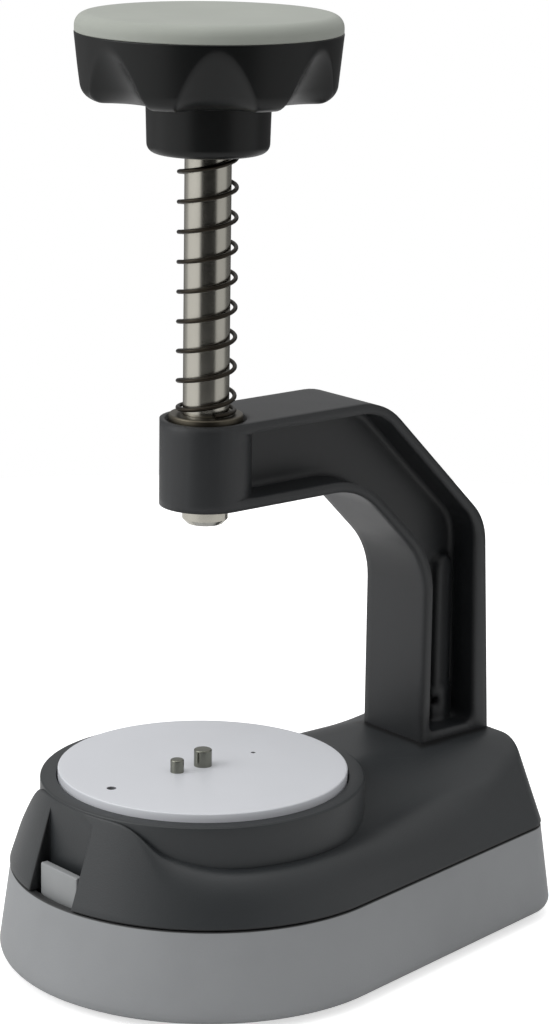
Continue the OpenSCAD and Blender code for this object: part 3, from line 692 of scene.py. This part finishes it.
def housing_grid(s):
    """The housing as one closed grid. Each column starts under the housing, runs up the sloping
    wall, over a rounded crest, along the deck to the ring, up and over the ring, and down into its
    recess to the middle. Where the wall comes near the ring, the crest and the deck rise and merge
    with it."""
    columns = base_columns(s, True)
    in_notch, inset = columns[2][:, None], columns[3][:, None]
    low = s.housing_low
    count = len(columns[0])

    def wall(z):
        """Plan points of the wall with the notch cut in, whose edges fade out at its back."""
        x, y = open_wall(z)
        y = y + inset * np.clip((-s.notch_back - y) / fade, 0, 1)
        return x, np.where(in_notch, np.maximum(y, -s.notch_back), y)

    def deck(x, y):
        """Height of the deck, raised to the crest where the wall comes near the ring."""
        return part_way(deck_height(s, x, y), crest, merge)

    open_wall, fade = partial(wall_at, s, columns), 1.5
    start, end = np.full((count, 1), low), np.full((count, 1), s.disc_top)
    crest = halve(start, end, lambda z: deck_height(s, *open_wall(z)) > z)
    cx, cy = open_wall(crest)
    ring, merge_from, merge_run = s.ring_radius, 0.7, 2.4
    hit = halve(start, end, lambda z: np.hypot(*open_wall(z)) > ring + 0.05)
    hit = np.minimum(hit, s.ring_top - s.ring_edge)
    merge = 1 - ease((np.hypot(cx, cy) - ring - merge_from) / merge_run)
    crest = part_way(crest, hit, merge)
    cx, cy = open_wall(crest)
    far = np.hypot(cx, cy)
    qx, qy = cx * ring / far, cy * ring / far
    run = far - ring
    rear = ease((cy - REAR_CREST[0]) / REAR_CREST[1])
    limit = part_way(s.crest_round, s.crest_rear, rear)
    reach = np.minimum(limit, 0.85 * run)
    drop = np.minimum(0.93 * limit, 1.8 * run)

    rise, draw = quarter(LIP, 4)
    lip_z = low + rise + 0 * crest
    lx, ly = wall(lip_z)
    shrink = 1 - draw / np.hypot(lx, ly)
    lip_rows = lx * shrink, ly * shrink, lip_z

    below = crest - drop
    bend = halve(start, end, lambda z: open_wall(z)[1] < -s.notch_back)
    foot = low + LIP
    bend = np.clip(np.where(in_notch, bend, part_way(foot, below, 0.6)), foot + 0.1, below)
    t = shares(9)
    wall_z = np.concatenate([part_way(foot, bend, t), part_way(bend, below, t)], 1)
    wall_rows = (*wall(wall_z), wall_z)

    wx, wy = wall(below)
    part = reach / np.maximum(run, 1e-9)
    dx, dy = part_way(cx, qx, part), part_way(cy, qy, part)
    a, b, c = (1 - t) ** 2, 2 * t * (1 - t), t ** 2
    crest_rows = [a * first + b * second + c * third for first, second, third in
                  ((wx, cx, dx), (wy, cy, dy), (below, crest, deck(dx, dy)))]
    t = shares(15)
    ex, ey = part_way(dx, qx, t), part_way(dy, qy, t)
    deck_rows = ex, ey, deck(ex, ey)

    edge, top = s.ring_edge, s.ring_top
    ux, uy = qx / ring, qy / ring
    t = shares(4)
    ring_rows = qx + 0 * t, qy + 0 * t, part_way(deck(qx, qy), top - edge, t)
    bore, hub, rest = s.recess_radius, s.anvil_radius + 0.05, s.disc_low
    profile = rounded([(ring, top - edge), (ring, top), (bore, top), (bore, rest), (hub, rest),
                       (hub, s.anvil_low), (0, s.anvil_low)], [edge, 0.4, 0.3, 0, 0], 5)
    r, h = profile[None, 1:, 0], profile[None, 1:, 1]
    inner_rows = ux * r, uy * r, h + 0 * ux

    plate_inset, plate_room, notch_wall = 6.25, 3.0, 1.6
    px, py = drawn_in(s, columns, np.full((1, 1), plate_inset))
    near = np.abs(px) < s.notch_half + notch_wall + 0.4
    py = np.where(near, np.maximum(py, -s.notch_back + notch_wall), py)
    roof = low + plate_room
    return stack((px * 0, py * 0 + MIDDLE_Y, roof), (px, py, roof), (px, py, low), lip_rows,
                 wall_rows, crest_rows, deck_rows, ring_rows, inner_rows)


def tray_grid(s):
    """The tray as one closed grid: from the middle of its underside round the lower edge, up the
    leaning wall, over the rim, and down inside to the middle of the floor."""
    columns = base_columns(s, False)
    low, rim, edge = s.tray_low, s.seam, s.tray_edge
    floor, fillet, draft = low + s.tray_floor, 1.5, 1.3
    deep = s.tray_lean + s.tray_wall
    up, down = shares(8), shares(6)
    first, lip, last = quarter(edge, 9), quarter(LIP, 4), quarter(fillet, 6)
    inset, height = np.concatenate([
        (first[1], low + first[0]),
        (s.tray_lean * up, part_way(low + edge, rim - LIP, up)),
        (s.tray_lean + lip[0][1:], rim - lip[1][1:]),
        (deep - lip[1], rim - lip[0]),
        (deep - draft * down, part_way(rim - LIP, floor + fillet, down)),
        (deep - draft + last[0][1:], floor + last[1][1:])], 1)[:, None]
    x, y = drawn_in(s, columns, inset)
    zero = np.zeros((len(x), 1))
    return stack((zero, MIDDLE_Y, low), (x, y, height), (zero, MIDDLE_Y, floor))


def scallop_side(s, off, z, low, high):
    """Distance from the axis to the near side of a scallop, for an angle off its middle and a
    height. A scallop is a cone whose near line runs from its tip down to its foot: a ray r along e
    from the axis meets it where the squared distance from its axis equals its squared radius there,
    which is a quadratic in r. Where the ray misses it, the distance is very large."""
    tip = np.array([s.knob_radius, high - s.scallop_tip])
    foot = np.array([s.knob_radius - s.scallop_depth, low])
    along = (foot - tip) / np.linalg.norm(foot - tip)
    square = np.array([-along[1], along[0]])
    first, last = tip + square * s.scallop_tip_radius, foot + square * s.scallop_radius
    run = np.linalg.norm(last - first)
    u = (last - first) / run
    start, grow = s.scallop_tip_radius, (s.scallop_radius - s.scallop_tip_radius) / run
    eu, q = np.cos(off) * u[0], z - first[1]
    qu, eq = q * u[1] - first[0] * u[0], -first[0] * np.cos(off)
    swell = 1 + grow ** 2
    a = 1 - swell * eu ** 2
    b = 2 * (eq - swell * eu * qu - start * grow * eu)
    c = first[0] ** 2 + q ** 2 - swell * qu ** 2 - 2 * start * grow * qu - start ** 2
    inside = b ** 2 - 4 * a * c
    near = (-b - np.sqrt(np.maximum(inside, 0))) / (2 * a)
    return np.where((inside > 0) & (near > 0), near, 1e3)


def knob_grid(s, steps=700):
    """The knob as a grid, up its neck, out along its lower face and up its side, with a blind hole
    in the neck for the spring."""
    a = np.arange(steps) * 2 * np.pi / steps
    low, high = s.neck_low + s.neck_height, s.cap_low
    between = 2 * np.pi / s.scallops
    off = (a - s.scallop_angle + between / 2) % between - between / 2

    def side(z):
        """The smaller of the turned radius and the near side of the scallop, by a smooth
        minimum."""
        plain = s.knob_radius - s.knob_taper * (high - z) / (high - low)
        near = scallop_side(s, off, z, low, high)
        edge = s.scallop_edge
        gap = np.clip((near - plain) / edge, -1, 1)
        blend = np.where(np.abs(gap) < 1, edge * (1 - np.abs(gap)) ** 2 / 4, 0)
        return np.minimum(plain, near) - blend

    neck, bottom = s.neck_radius, s.neck_low
    seat, roof = s.curl_radius + s.wire_radius + 0.8, bottom + s.spring_seat
    edge, rim, corner = s.knob_edge, 0.25, 0.8
    rows = [*rounded([(0, roof), (seat, roof), (seat, bottom), (neck - 0.3, bottom), (neck, low),
                      (neck + 1.5, low)], [0.3, 0.4, s.neck_edge, corner], 7)[:-1]]
    inner, outer = neck + corner, side(low + edge) - edge
    rows += [(part_way(inner, outer, share), low) for share in (0.25, 0.5, 0.75)]
    rows += [(side(low + rise) - draw, low + rise) for rise, draw in zip(*quarter(edge, 12))]
    rows += [(side(z), z) for z in np.linspace(low + edge, high - rim, 56)[1:-1]]
    rows += [(side(high - drop) - draw, high - drop) for draw, drop in zip(*quarter(rim, 4))]
    rows.append((0, high))
    r, z = (np.array([row[k] + 0 * a for row in rows]) for k in (0, 1))
    return np.stack([r * np.cos(a), r * np.sin(a), z], -1)


def spring_path(s, per_turn=40):
    """The middle of the spring's wire: a right-handed helix whose height rises slowly in the closed
    curl at each end and evenly between them."""
    low, high = s.spring_low + s.wire_radius, s.spring_high - s.wire_radius
    turns = s.open_curls + 2
    pitch = (high - low - 2 * s.closed_pitch) / s.open_curls
    turn = np.linspace(0, turns, int(turns * per_turn) + 1)
    fine = np.linspace(0, turns, 4001)
    closed, opening = 0.65, 0.3
    share = ease((fine - closed) / opening) * ease((turns - closed - fine) / opening)
    slope = part_way(s.closed_pitch, pitch, share)
    z = np.concatenate([[0], np.cumsum((slope[1:] + slope[:-1]) / 2 * np.diff(fine))])
    z = part_way(low, high, np.interp(turn, fine, z / z[-1]))
    a, r = s.spring_start + 2 * np.pi * turn, s.curl_radius
    return np.stack([r * np.cos(a), r * np.sin(a), z], -1)


def raise_boss(s, mesh):
    """Draws the boss out sideways, which turns its round section into a rib with a flat face. A
    vertex that is off the web by more than the boss's flank moves to the rib's height, plus what it
    stands out past the boss's radius, and one on the flank moves in proportion. The line where the
    boss meets the web, the bore inside it and the bottoms of the small holes in its foot stay."""
    web, radius, flank, foot, hole_bottom, near = s.web_half, s.boss_radius, 0.5, 0.7, 2.0, 0.05
    points = np.empty(3 * len(mesh.vertices), np.float32)
    mesh.vertices.foreach_get("co", points)
    points = points.reshape(-1, 3)
    x, y, z = points.T.astype(float) / MM
    out = np.abs(x)
    off = np.hypot(x, y - s.ram_y - s.boss_back)
    bore = (off < radius - 0.6) & (z < s.boss_bore_top + near)
    boss = (out > web) & (off < radius + foot + near) & (z < s.boss_bore_top + radius + near)
    share = np.minimum(1.0, (out - web) / flank)
    high = part_way(web, radius + s.boss_proud, share) + np.maximum(0.0, out - radius)
    moved = boss & ~bore & (np.abs(out - hole_bottom) > 0.01)
    points[:, 0] = np.where(moved, np.copysign(high * MM, x), points[:, 0])
    mesh.vertices.foreach_set("co", points.ravel())
    mesh.update()


def dress(piece, finish, body, slot, *nodes):
    """Gives a piece its finish, the body that it rides on, and the solids it stands for. Its slot
    is not used."""
    piece.data.materials.clear()
    piece.data.materials.append(finish)
    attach(piece, body)
    if nodes:
        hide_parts(*nodes)


def repaint(node, finish):
    """Gives a solid of the frame a new finish."""
    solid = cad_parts[node]
    if not solid.data.materials:
        solid.data.materials.append(finish)
    for index in range(len(solid.data.materials)):
        solid.data.materials[index] = finish


class MakeHousing(bpy.types.Operator):
    """Makes the dark housing with its ring, its deck and the notch at the front"""

    bl_idname = "rotor_press.housing"
    bl_label = "Housing"

    def execute(self, context):
        s = sizes()
        piece = mesh_object("housing_shell", housing_grid(s), 34.0)

        def painted_shade(finish):
            """Painted shade, dark where shadow falls: at the seam's lip, in a thin line round the
            column's foot and along the notch."""
            lip = 1 - finish.along(2, s.housing_low).between(0.2, 0.4)
            across = finish.along(0).size() - s.foot_half
            middle, half = (s.foot_front + s.foot_back) / 2, (s.foot_back - s.foot_front) / 2
            line = across.larger(finish.along(1, s.ram_y + middle).size() - half)
            high = finish.along(2, s.seam).between(12.0, 13.0)
            cheek = (finish.along(0).size() - s.notch_half).size()
            front = 1 - finish.along(1, s.ram_y - s.notch_back).between(-0.6, -0.2)
            notch = (1 - cheek.between(0.05, 0.3)) * front * 0.8
            return lip.larger((1 - line.between(0.9, 2.9)) * high).larger(notch)

        # The housing's plastic, with painted shade at its lower lip, round the column's foot and in
        # the notch.
        plastic = moulded("housing plastic", paint("housing"), 0.42, 0.4, 0.03, painted_shade=painted_shade)
        dress(piece, plastic, "housing", "housing_plastic", "housing")
        repaint("base_plate", ground("plate steel", paint("zinc"), 0.4, (1.0, 0.05, 1.0)))
        repaint("base_plate_screws", ground("plate screw zinc", paint("zinc"), 0.3, (1, 1, 1)))
        return {"FINISHED"}


class MakeTray(bpy.types.Operator):
    """Makes the grey tray with the lugs of the tongue"""

    bl_idname = "rotor_press.tray"
    bl_label = "Tray"

    def execute(self, context):
        s = sizes()
        piece = mesh_object("tray_shell", tray_grid(s), 34.0)
        # The tray's plastic, with painted shade in a thin band at the top of its rim, standing in
        # for shadow in the seam's gap.
        plastic = moulded("tray plastic", paint("tray"), 0.5, 0.4, 0.03, 0.12,
                          painted_shade=lambda finish: finish.along(2, s.seam).between(-0.4, -0.2))
        dress(piece, plastic, "tray", "tray_plastic", "tray")
        bead_y = -s.tongue_front + s.tongue_thick / 2 + s.bead_set
        foot, high, half, thick = s.tray_low + s.tray_floor - 0.5, s.bead_z + 2.7, 3.4, 3
        outline = rounded([(bead_y, foot), (bead_y + half, foot), (bead_y + half, high),
                           (bead_y - half, high), (bead_y - half, foot), (bead_y, foot)],
                          [0, 0.8, 0.8, 0], 4)[1:]
        for name, x in (("tray_lug_left", -11.1), ("tray_lug_right", 8.1)):
            lug = prism(name, outline, x, x + thick)
            dress(lug, plastic, "tray", "tray_plastic")
        repaint("rubber_feet", rubbery("foot rubber", paint("rubber")))
        return {"FINISHED"}


class MakeTongue(bpy.types.Operator):
    """Makes the light grey tongue in the notch, with its hinge bead"""

    bl_idname = "rotor_press.tongue"
    bl_label = "Tongue"

    def execute(self, context):
        s = sizes()
        front, back = -s.tongue_front, -s.tongue_front + s.tongue_thick
        middle, low, high = front + s.tongue_thick / 2, s.bead_z, s.tongue_top
        outline = rounded([(middle, low), (back, low), (back, high), (front, high), (front, low),
                           (middle, low)], [0, 0.3, 0.45, 0], 5)[1:]
        plastic = moulded("tongue plastic", paint("tongue"), 0.5, 0.35, 0.02, 0.1)
        plate = prism("tongue_plate", outline, -s.tongue_half, s.tongue_half)
        dress(plate, plastic, "latch", "tongue_plastic", "latch_tongue")
        bead_y = middle + s.bead_set
        circle = arc((bead_y, s.bead_z), s.bead_radius, 0, 2 * np.pi, 32)[:-1]
        bead = prism("tongue_bead", circle, -s.bead_half, s.bead_half)
        dress(bead, plastic, "latch", "tongue_plastic")
        low, high, back, half = s.tongue_low + 0.1, s.tongue_low + 1.3, bead_y + 9, 5.5
        heel = prism("tongue_heel", [(bead_y, low), (back, low), (back, high), (bead_y, high)],
                     -half, half, 0.2)
        dress(heel, plastic, "latch", "tongue_plastic")
        return {"FINISHED"}


class MakeArm(bpy.types.Operator):
    """Makes the arm and column, the bushes in its head and the screw up its boss"""

    bl_idname = "rotor_press.arm"
    bl_label = "Arm and column"

    def execute(self, context):
        s = sizes()
        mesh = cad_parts["column_arm"].data.copy()
        mesh.name = "arm_frame"
        tidy(mesh, 0.6)
        raise_boss(s, mesh)
        arm = put("arm_frame", mesh)
        bevel = arm.modifiers.new("edges", "BEVEL")
        bevel.width, bevel.segments = s.arm_edge * MM, 3
        bevel.limit_method, bevel.angle_limit = "ANGLE", math.radians(30)
        arm.modifiers.new("even shading", "WEIGHTED_NORMAL").keep_sharp = True
        dress(arm, painted("arm paint", paint("arm")), "housing", "painted_casting", "column_arm")

        low, high, seat = s.flange_low, s.flange_top, s.flange_top - s.flange_thick
        bore, outer, flange = s.ram_radius + 0.04, s.bush_radius, s.flange_radius
        bronze = ground("bush bronze", paint("bronze"), 0.36, (1, 1, 1), 0.5)
        profile = rounded([(bore, low), (outer, low), (outer, seat), (flange, seat), (flange, high),
                           (bore, high), (bore, low)], [0.3, 0, 0, 0.4, 0.3], 5)
        bush = turned("flanged_bush", profile, 128)
        dress(bush, bronze, "housing", "bush_bronze", "upper_bush")
        repaint("lower_bush", bronze)
        zinc = ground("screw zinc", paint("zinc"), 0.3, (1, 1, 1))
        for node in ("column_screw", "column_washer", "anvil_screws"):
            repaint(node, zinc)
        repaint("anvil", ground("anvil steel", paint("zinc"), 0.25, (1.0, 0.03, 1.0)))
        return {"FINISHED"}


class MakeRam(bpy.types.Operator):
    """Makes the steel ram with its retaining ring, stop washer and return spring"""

    bl_idname = "rotor_press.ram"
    bl_label = "Ram and spring"

    def execute(self, context):
        s = sizes()
        r, low, high = s.ram_radius, s.ram_low, s.ram_top
        ring_low, ring_high = (float(corner[2]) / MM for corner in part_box("retaining_ring"))
        play, groove, tip, end = 0.05, r - 0.6, (1.05, 1.1), 0.5
        below, above = ring_low - play, ring_high + play
        profile = rounded([(0, low), (r - tip[0], low), (r, low + tip[1]), (r, below),
                           (groove, below), (groove, above), (r, above), (r, high - end),
                           (r - end, high), (0, high)], [0.15, 0.15, 0, 0, 0, 0, 0.1, 0.1], 3)
        steel = ground("ground steel", paint("steel"), 0.2, (1.0, 1.0, 8.0), 0.15, 0.0005)
        rod = turned("ram_rod", profile, 144)
        dress(rod, steel, "ram", "ground_steel", "ram")
        repaint("retaining_ring", ground("black steel", paint("black_steel"), 0.4, (1, 1, 1)))
        repaint("stop_washer", moulded("washer nylon", paint("nylon"), 0.45, 0.3, 0.01))
        spring = tube("spring_wire", spring_path(s), s.wire_radius)
        wire = ground("spring wire", paint("wire"), 0.34, (1, 1, 1), 0.4)
        dress(spring, wire, "spring", "spring_steel", "return_spring")
        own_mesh(spring)
        return {"FINISHED"}


class MakeKnob(bpy.types.Operator):
    """Makes the scalloped knob and its soft cap"""

    bl_idname = "rotor_press.knob"
    bl_label = "Knob and cap"

    def execute(self, context):
        s = sizes()
        knob = mesh_object("knob_grip", knob_grid(s), 40.0)
        plastic = moulded("knob plastic", paint("knob"), 0.3, 0.3, 0.01, 0.3, index=1.38)
        dress(knob, plastic, "ram", "knob_plastic", "knob_body")
        low, high, r = s.cap_low, s.cap_top, s.knob_radius - 0.1
        flat, dish = r - 9, 0.4
        crown = [(flat * (1 - t), high - dish * ease(t)) for t in shares(11)]
        side = rounded([(0, low), (r, low), (r, high), (flat, high)], [0.25, s.cap_edge], 10)
        cap = turned("cap_pad", np.concatenate([side, crown]), 200)
        dress(cap, rubbery("cap rubber", paint("cap"), 0.62), "ram", "cap_rubber", "knob_cap")
        repaint("knob_insert", ground("insert brass", paint("brass"), 0.3, (1, 1, 1)))
        repaint("knob_screw", ground("knob screw zinc", paint("zinc"), 0.3, (1, 1, 1)))
        return {"FINISHED"}


class MakeDisc(bpy.types.Operator):
    """Makes the white work disc with its holes and its two steel pins"""

    bl_idname = "rotor_press.disc"
    bl_label = "Work disc"

    def execute(self, context):
        s = sizes()
        r, low, high = s.disc_radius, s.disc_low, s.disc_top
        inner, below, above = r - 1.4, 0.08, 0.06
        profile = [(0, low), (inner, low), (r, low), (r, high), (inner, high), (0, high)]
        disc = turned("disc_plate", rounded(profile, [0, 0.3, 0.3, 0], 6), 200)
        holes = (-s.large_hole_y, s.large_hole_radius), (s.small_hole_y, s.small_hole_radius)
        for y, radius in holes:
            profile = [(0, low - 2), (radius, low - 2), (radius, high - below),
                       (radius + below + above, high + above), (0, high + above)]
            drill = turned("drill", profile, 40, y)
            cut = disc.modifiers.new("hole", "BOOLEAN")
            cut.operation, cut.solver, cut.object = "DIFFERENCE", "EXACT", drill
            apply_modifiers(disc)
            bpy.data.objects.remove(drill, do_unlink=True)
        disc.data.set_sharp_from_angle(angle=math.radians(32))
        dress(disc, polished("disc plastic", paint("disc")), "disc", "disc_plastic", "work_disc")
        # Painted shade: the faces in the holes get a much darker copy of the disc's plastic,
        # standing in for shadow down the holes.
        disc.data.materials.append(polished("hole shade", shade(paint("disc"), 0.3), 0.6))
        for face in disc.data.polygons:
            x, y = face.center.x / MM, face.center.y / MM - s.ram_y
            if any(math.hypot(x, y - hole_y) < radius + 0.1 for hole_y, radius in holes):
                face.material_index = 1
        steel = ground("pin steel", paint("pin"), 0.2, (1.0, 1.0, 0.02), 0.4)
        for name, radius, height, y, node in (
                ("pin_centre", s.pin_radius, s.pin_height, 0.0, "centre_pin"),
                ("pin_locating", s.small_pin_radius, s.small_pin_height, -s.small_pin_y,
                 "locating_pin")):
            foot, tip = high - 4, high + height
            profile = rounded([(0, foot), (radius, foot), (radius, tip), (0, tip)], [0.1, 0.3], 5)
            pin = turned(name, profile, 64, y)
            dress(pin, steel, "disc", "ground_steel", node)
        return {"FINISHED"}


def apply_modifiers(piece):
    """Puts the result of a piece's modifiers into its mesh."""
    view = bpy.context.evaluated_depsgraph_get()
    mesh = bpy.data.meshes.new_from_object(piece.evaluated_get(view))
    piece.modifiers.clear()
    piece.data = mesh


# Stage


# The camera's place in millimetres from the ram's axis and the disc's top, and angles in degrees
CAMERA_PLACE = (524.4, -418.8, 229.7)
CAMERA_AZIMUTH = 51.382
CAMERA_PITCH, CAMERA_ROLL, CAMERA_YAW = 14.358, 0.827, 1.277
FOCAL_LENGTH, SENSOR = 112.5, 36.0
# The floor's radius in metres, its whiteness, and what the camera sees added to it
FLOOR_RADIUS, FLOOR_WHITE, FLOOR_GLOW = 0.44, 0.86, 0.62
# The surround's plain level, and where it is brighter and dimmer: the angle from the camera's side,
# the rise, the cosines from that middle at which it starts and is whole, and its strength
AROUND = 0.47
BRIGHTER = ((-80, 0, 0.1, 0.85, 0.42), (80, 0, 0.1, 0.85, 0.12), (0, 90, 0.3, 0.9, 0.3))
DIMMER = ((5, -6, 0.70, 0.84, 0.97), (180, -35, 0.6, 0.95, 0.5), (-138, 0, 0.8, 0.95, 0.5),
          (132, -10, 0.78, 0.95, 0.7))
# Lamps: metres to the right, up and towards the camera, size in metres and power in watts
LAMPS = (("left", -0.95, 0.45, 0.3, 0.7, 3.6), ("above", -0.1, 0.85, 0.1, 0.7, 1.9))


def camera_axes():
    """The camera's right, up and back directions, from its azimuth, yaw, pitch and roll."""
    yaw, pitch, roll = (math.radians(v) for v in (CAMERA_YAW, CAMERA_PITCH, CAMERA_ROLL))
    turn = Matrix.Rotation(math.radians(CAMERA_AZIMUTH), 3, "Z")
    right = Vector((math.cos(yaw), -math.sin(yaw), 0))
    level, rise = Vector((math.sin(yaw), math.cos(yaw), 0)), Vector((0, 0, 1))
    ahead = level * math.cos(pitch) - rise * math.sin(pitch)
    up = level * math.sin(pitch) + rise * math.cos(pitch)
    across = right * math.cos(roll) + up * math.sin(roll)
    above = up * math.cos(roll) - right * math.sin(roll)
    return turn @ across, turn @ above, turn @ -ahead


class MakeStage(bpy.types.Operator):
    """Makes the camera, the pale floor and the soft studio light"""

    bl_idname = "rotor_press.stage"
    bl_label = "Stage"

    def execute(self, context):
        s = sizes()
        scene = context.scene
        lens = bpy.data.cameras.new("camera")
        lens.lens, lens.sensor_width = FOCAL_LENGTH, SENSOR
        lens.clip_start, lens.clip_end = 0.05, 20.0
        camera = put("camera", lens)
        axes = Matrix(camera_axes()).transposed().to_4x4()
        spot = Vector(CAMERA_PLACE) + Vector((0, s.ram_y, s.disc_top))
        camera.matrix_world = Matrix.Translation(spot * MM) @ axes
        scene.camera = camera
        scene.view_settings.view_transform = "Standard"
        self.floor()
        self.world(scene)
        self.lamps()
        return {"FINISHED"}

    def floor(self):
        """A round sheet of white paper. Seen directly it is lifted to white, and keeps the
        shadow."""
        bpy.ops.mesh.primitive_circle_add(vertices=96, radius=FLOOR_RADIUS, fill_type="NGON",
                                          location=(0, 0, -0.0002))
        floor = bpy.context.object
        floor.name = "floor"
        paper = Finish("floor white", (FLOOR_WHITE, FLOOR_WHITE, FLOOR_WHITE, 1), 0.8)
        plain = paper.shader.outputs[0]
        light = {"Color": (1, 1, 1, 1), "Strength": FLOOR_GLOW}
        glow = paper.add("ShaderNodeEmission", None, light)
        both = paper.add("ShaderNodeAddShader", None, {0: plain, 1: glow.outputs[0]})
        seen = paper.add("ShaderNodeLightPath").outputs["Is Camera Ray"]
        choose = paper.add("ShaderNodeMixShader", None, {0: seen, 1: plain, 2: both.outputs[0]})
        paper.fill(paper.tree.nodes["Material Output"].inputs["Surface"], choose.outputs[0])
        floor.data.materials.append(paper.material)

    def world(self, scene):
        """A soft surround: bright at the left, less so at the right, dark where the camera stands,
        so that bright metal shows a dark stripe, and dimmer behind. Seen directly it is white."""
        scene.world = bpy.data.worlds.new("studio")
        sky = Nodes(scene.world)
        where = sky.add("ShaderNodeTexCoord").outputs["Generated"]
        facing = math.atan2(CAMERA_PLACE[1], CAMERA_PLACE[0])

        def towards(degrees, rise, low, high):
            """0 to 1 as a direction comes nearer to the one at that angle and rise."""
            turn, lift = facing + math.radians(degrees), math.radians(rise)
            aim = math.cos(turn) * math.cos(lift), math.sin(turn) * math.cos(lift), math.sin(lift)
            dot = sky.add("ShaderNodeVectorMath", {"operation": "DOT_PRODUCT"}, {0: where, 1: aim})
            return Signal(sky, dot.outputs["Value"]).between(low, high)

        level = AROUND
        for *direction, strength in BRIGHTER:
            level = towards(*direction) * strength + level
        for *direction, strength in DIMMER:
            level = level * (1 - towards(*direction) * strength)
        seen = Signal(sky, sky.add("ShaderNodeLightPath").outputs["Is Camera Ray"])
        back = sky.tree.nodes["Background"].inputs
        sky.fill(back["Color"], (1, 1, 1, 1))
        sky.fill(back["Strength"], level * (1 - seen) + seen)

    def lamps(self):
        """Two soft boxes aimed at the press's middle: a strong one at the left and one above."""
        across, _, back = camera_axes()
        middle = Vector((0, 0, 0.1))
        for name, right, up, toward, size, power in LAMPS:
            lamp = bpy.data.lights.new(name, "AREA")
            lamp.shape, lamp.size, lamp.energy = "SQUARE", size, power
            holder = put(name, lamp)
            holder.location = middle + across * right + Vector((0, 0, 1)) * up + back * toward
            holder.rotation_euler = (middle - holder.location).to_track_quat("-Z", "Y").to_euler()


class ROTORPRESS_PT_panel(bpy.types.Panel):
    """Lists the pieces and the stage"""

    bl_label = "Rotor Press"
    bl_idname = "ROTORPRESS_PT_panel"
    bl_space_type = "VIEW_3D"
    bl_region_type = "UI"
    bl_category = "Rotor Press"

    def draw(self, context):
        for maker in MAKERS:
            self.layout.operator(maker.bl_idname)
        scene = context.scene
        for title, group in (("Sizes", scene.press_sizes), ("Colours", scene.press_colours)):
            box = self.layout.box()
            box.label(text=title)
            for name in group.__annotations__:
                box.prop(group, name)


MAKERS = (MakeStage, MakeTray, MakeHousing, MakeTongue, MakeArm, MakeRam, MakeKnob, MakeDisc)
CLASSES = (PressSizes, PressColours, *MAKERS, ROTORPRESS_PT_panel)


def register():
    """Registers the classes, and gives the scene its sizes and colours."""
    for item in CLASSES:
        bpy.utils.register_class(item)
    bpy.types.Scene.press_sizes = PointerProperty(type=PressSizes)
    bpy.types.Scene.press_colours = PointerProperty(type=PressColours)


def unregister():
    """Takes away what register made."""
    del bpy.types.Scene.press_colours
    del bpy.types.Scene.press_sizes
    for item in reversed(CLASSES):
        bpy.utils.unregister_class(item)


def main():
    """Makes every piece and the stage."""
    register()
    for maker in MAKERS:
        group, name = maker.bl_idname.split(".")
        getattr(getattr(bpy.ops, group), name)()


if __name__ == "__main__":
    main()
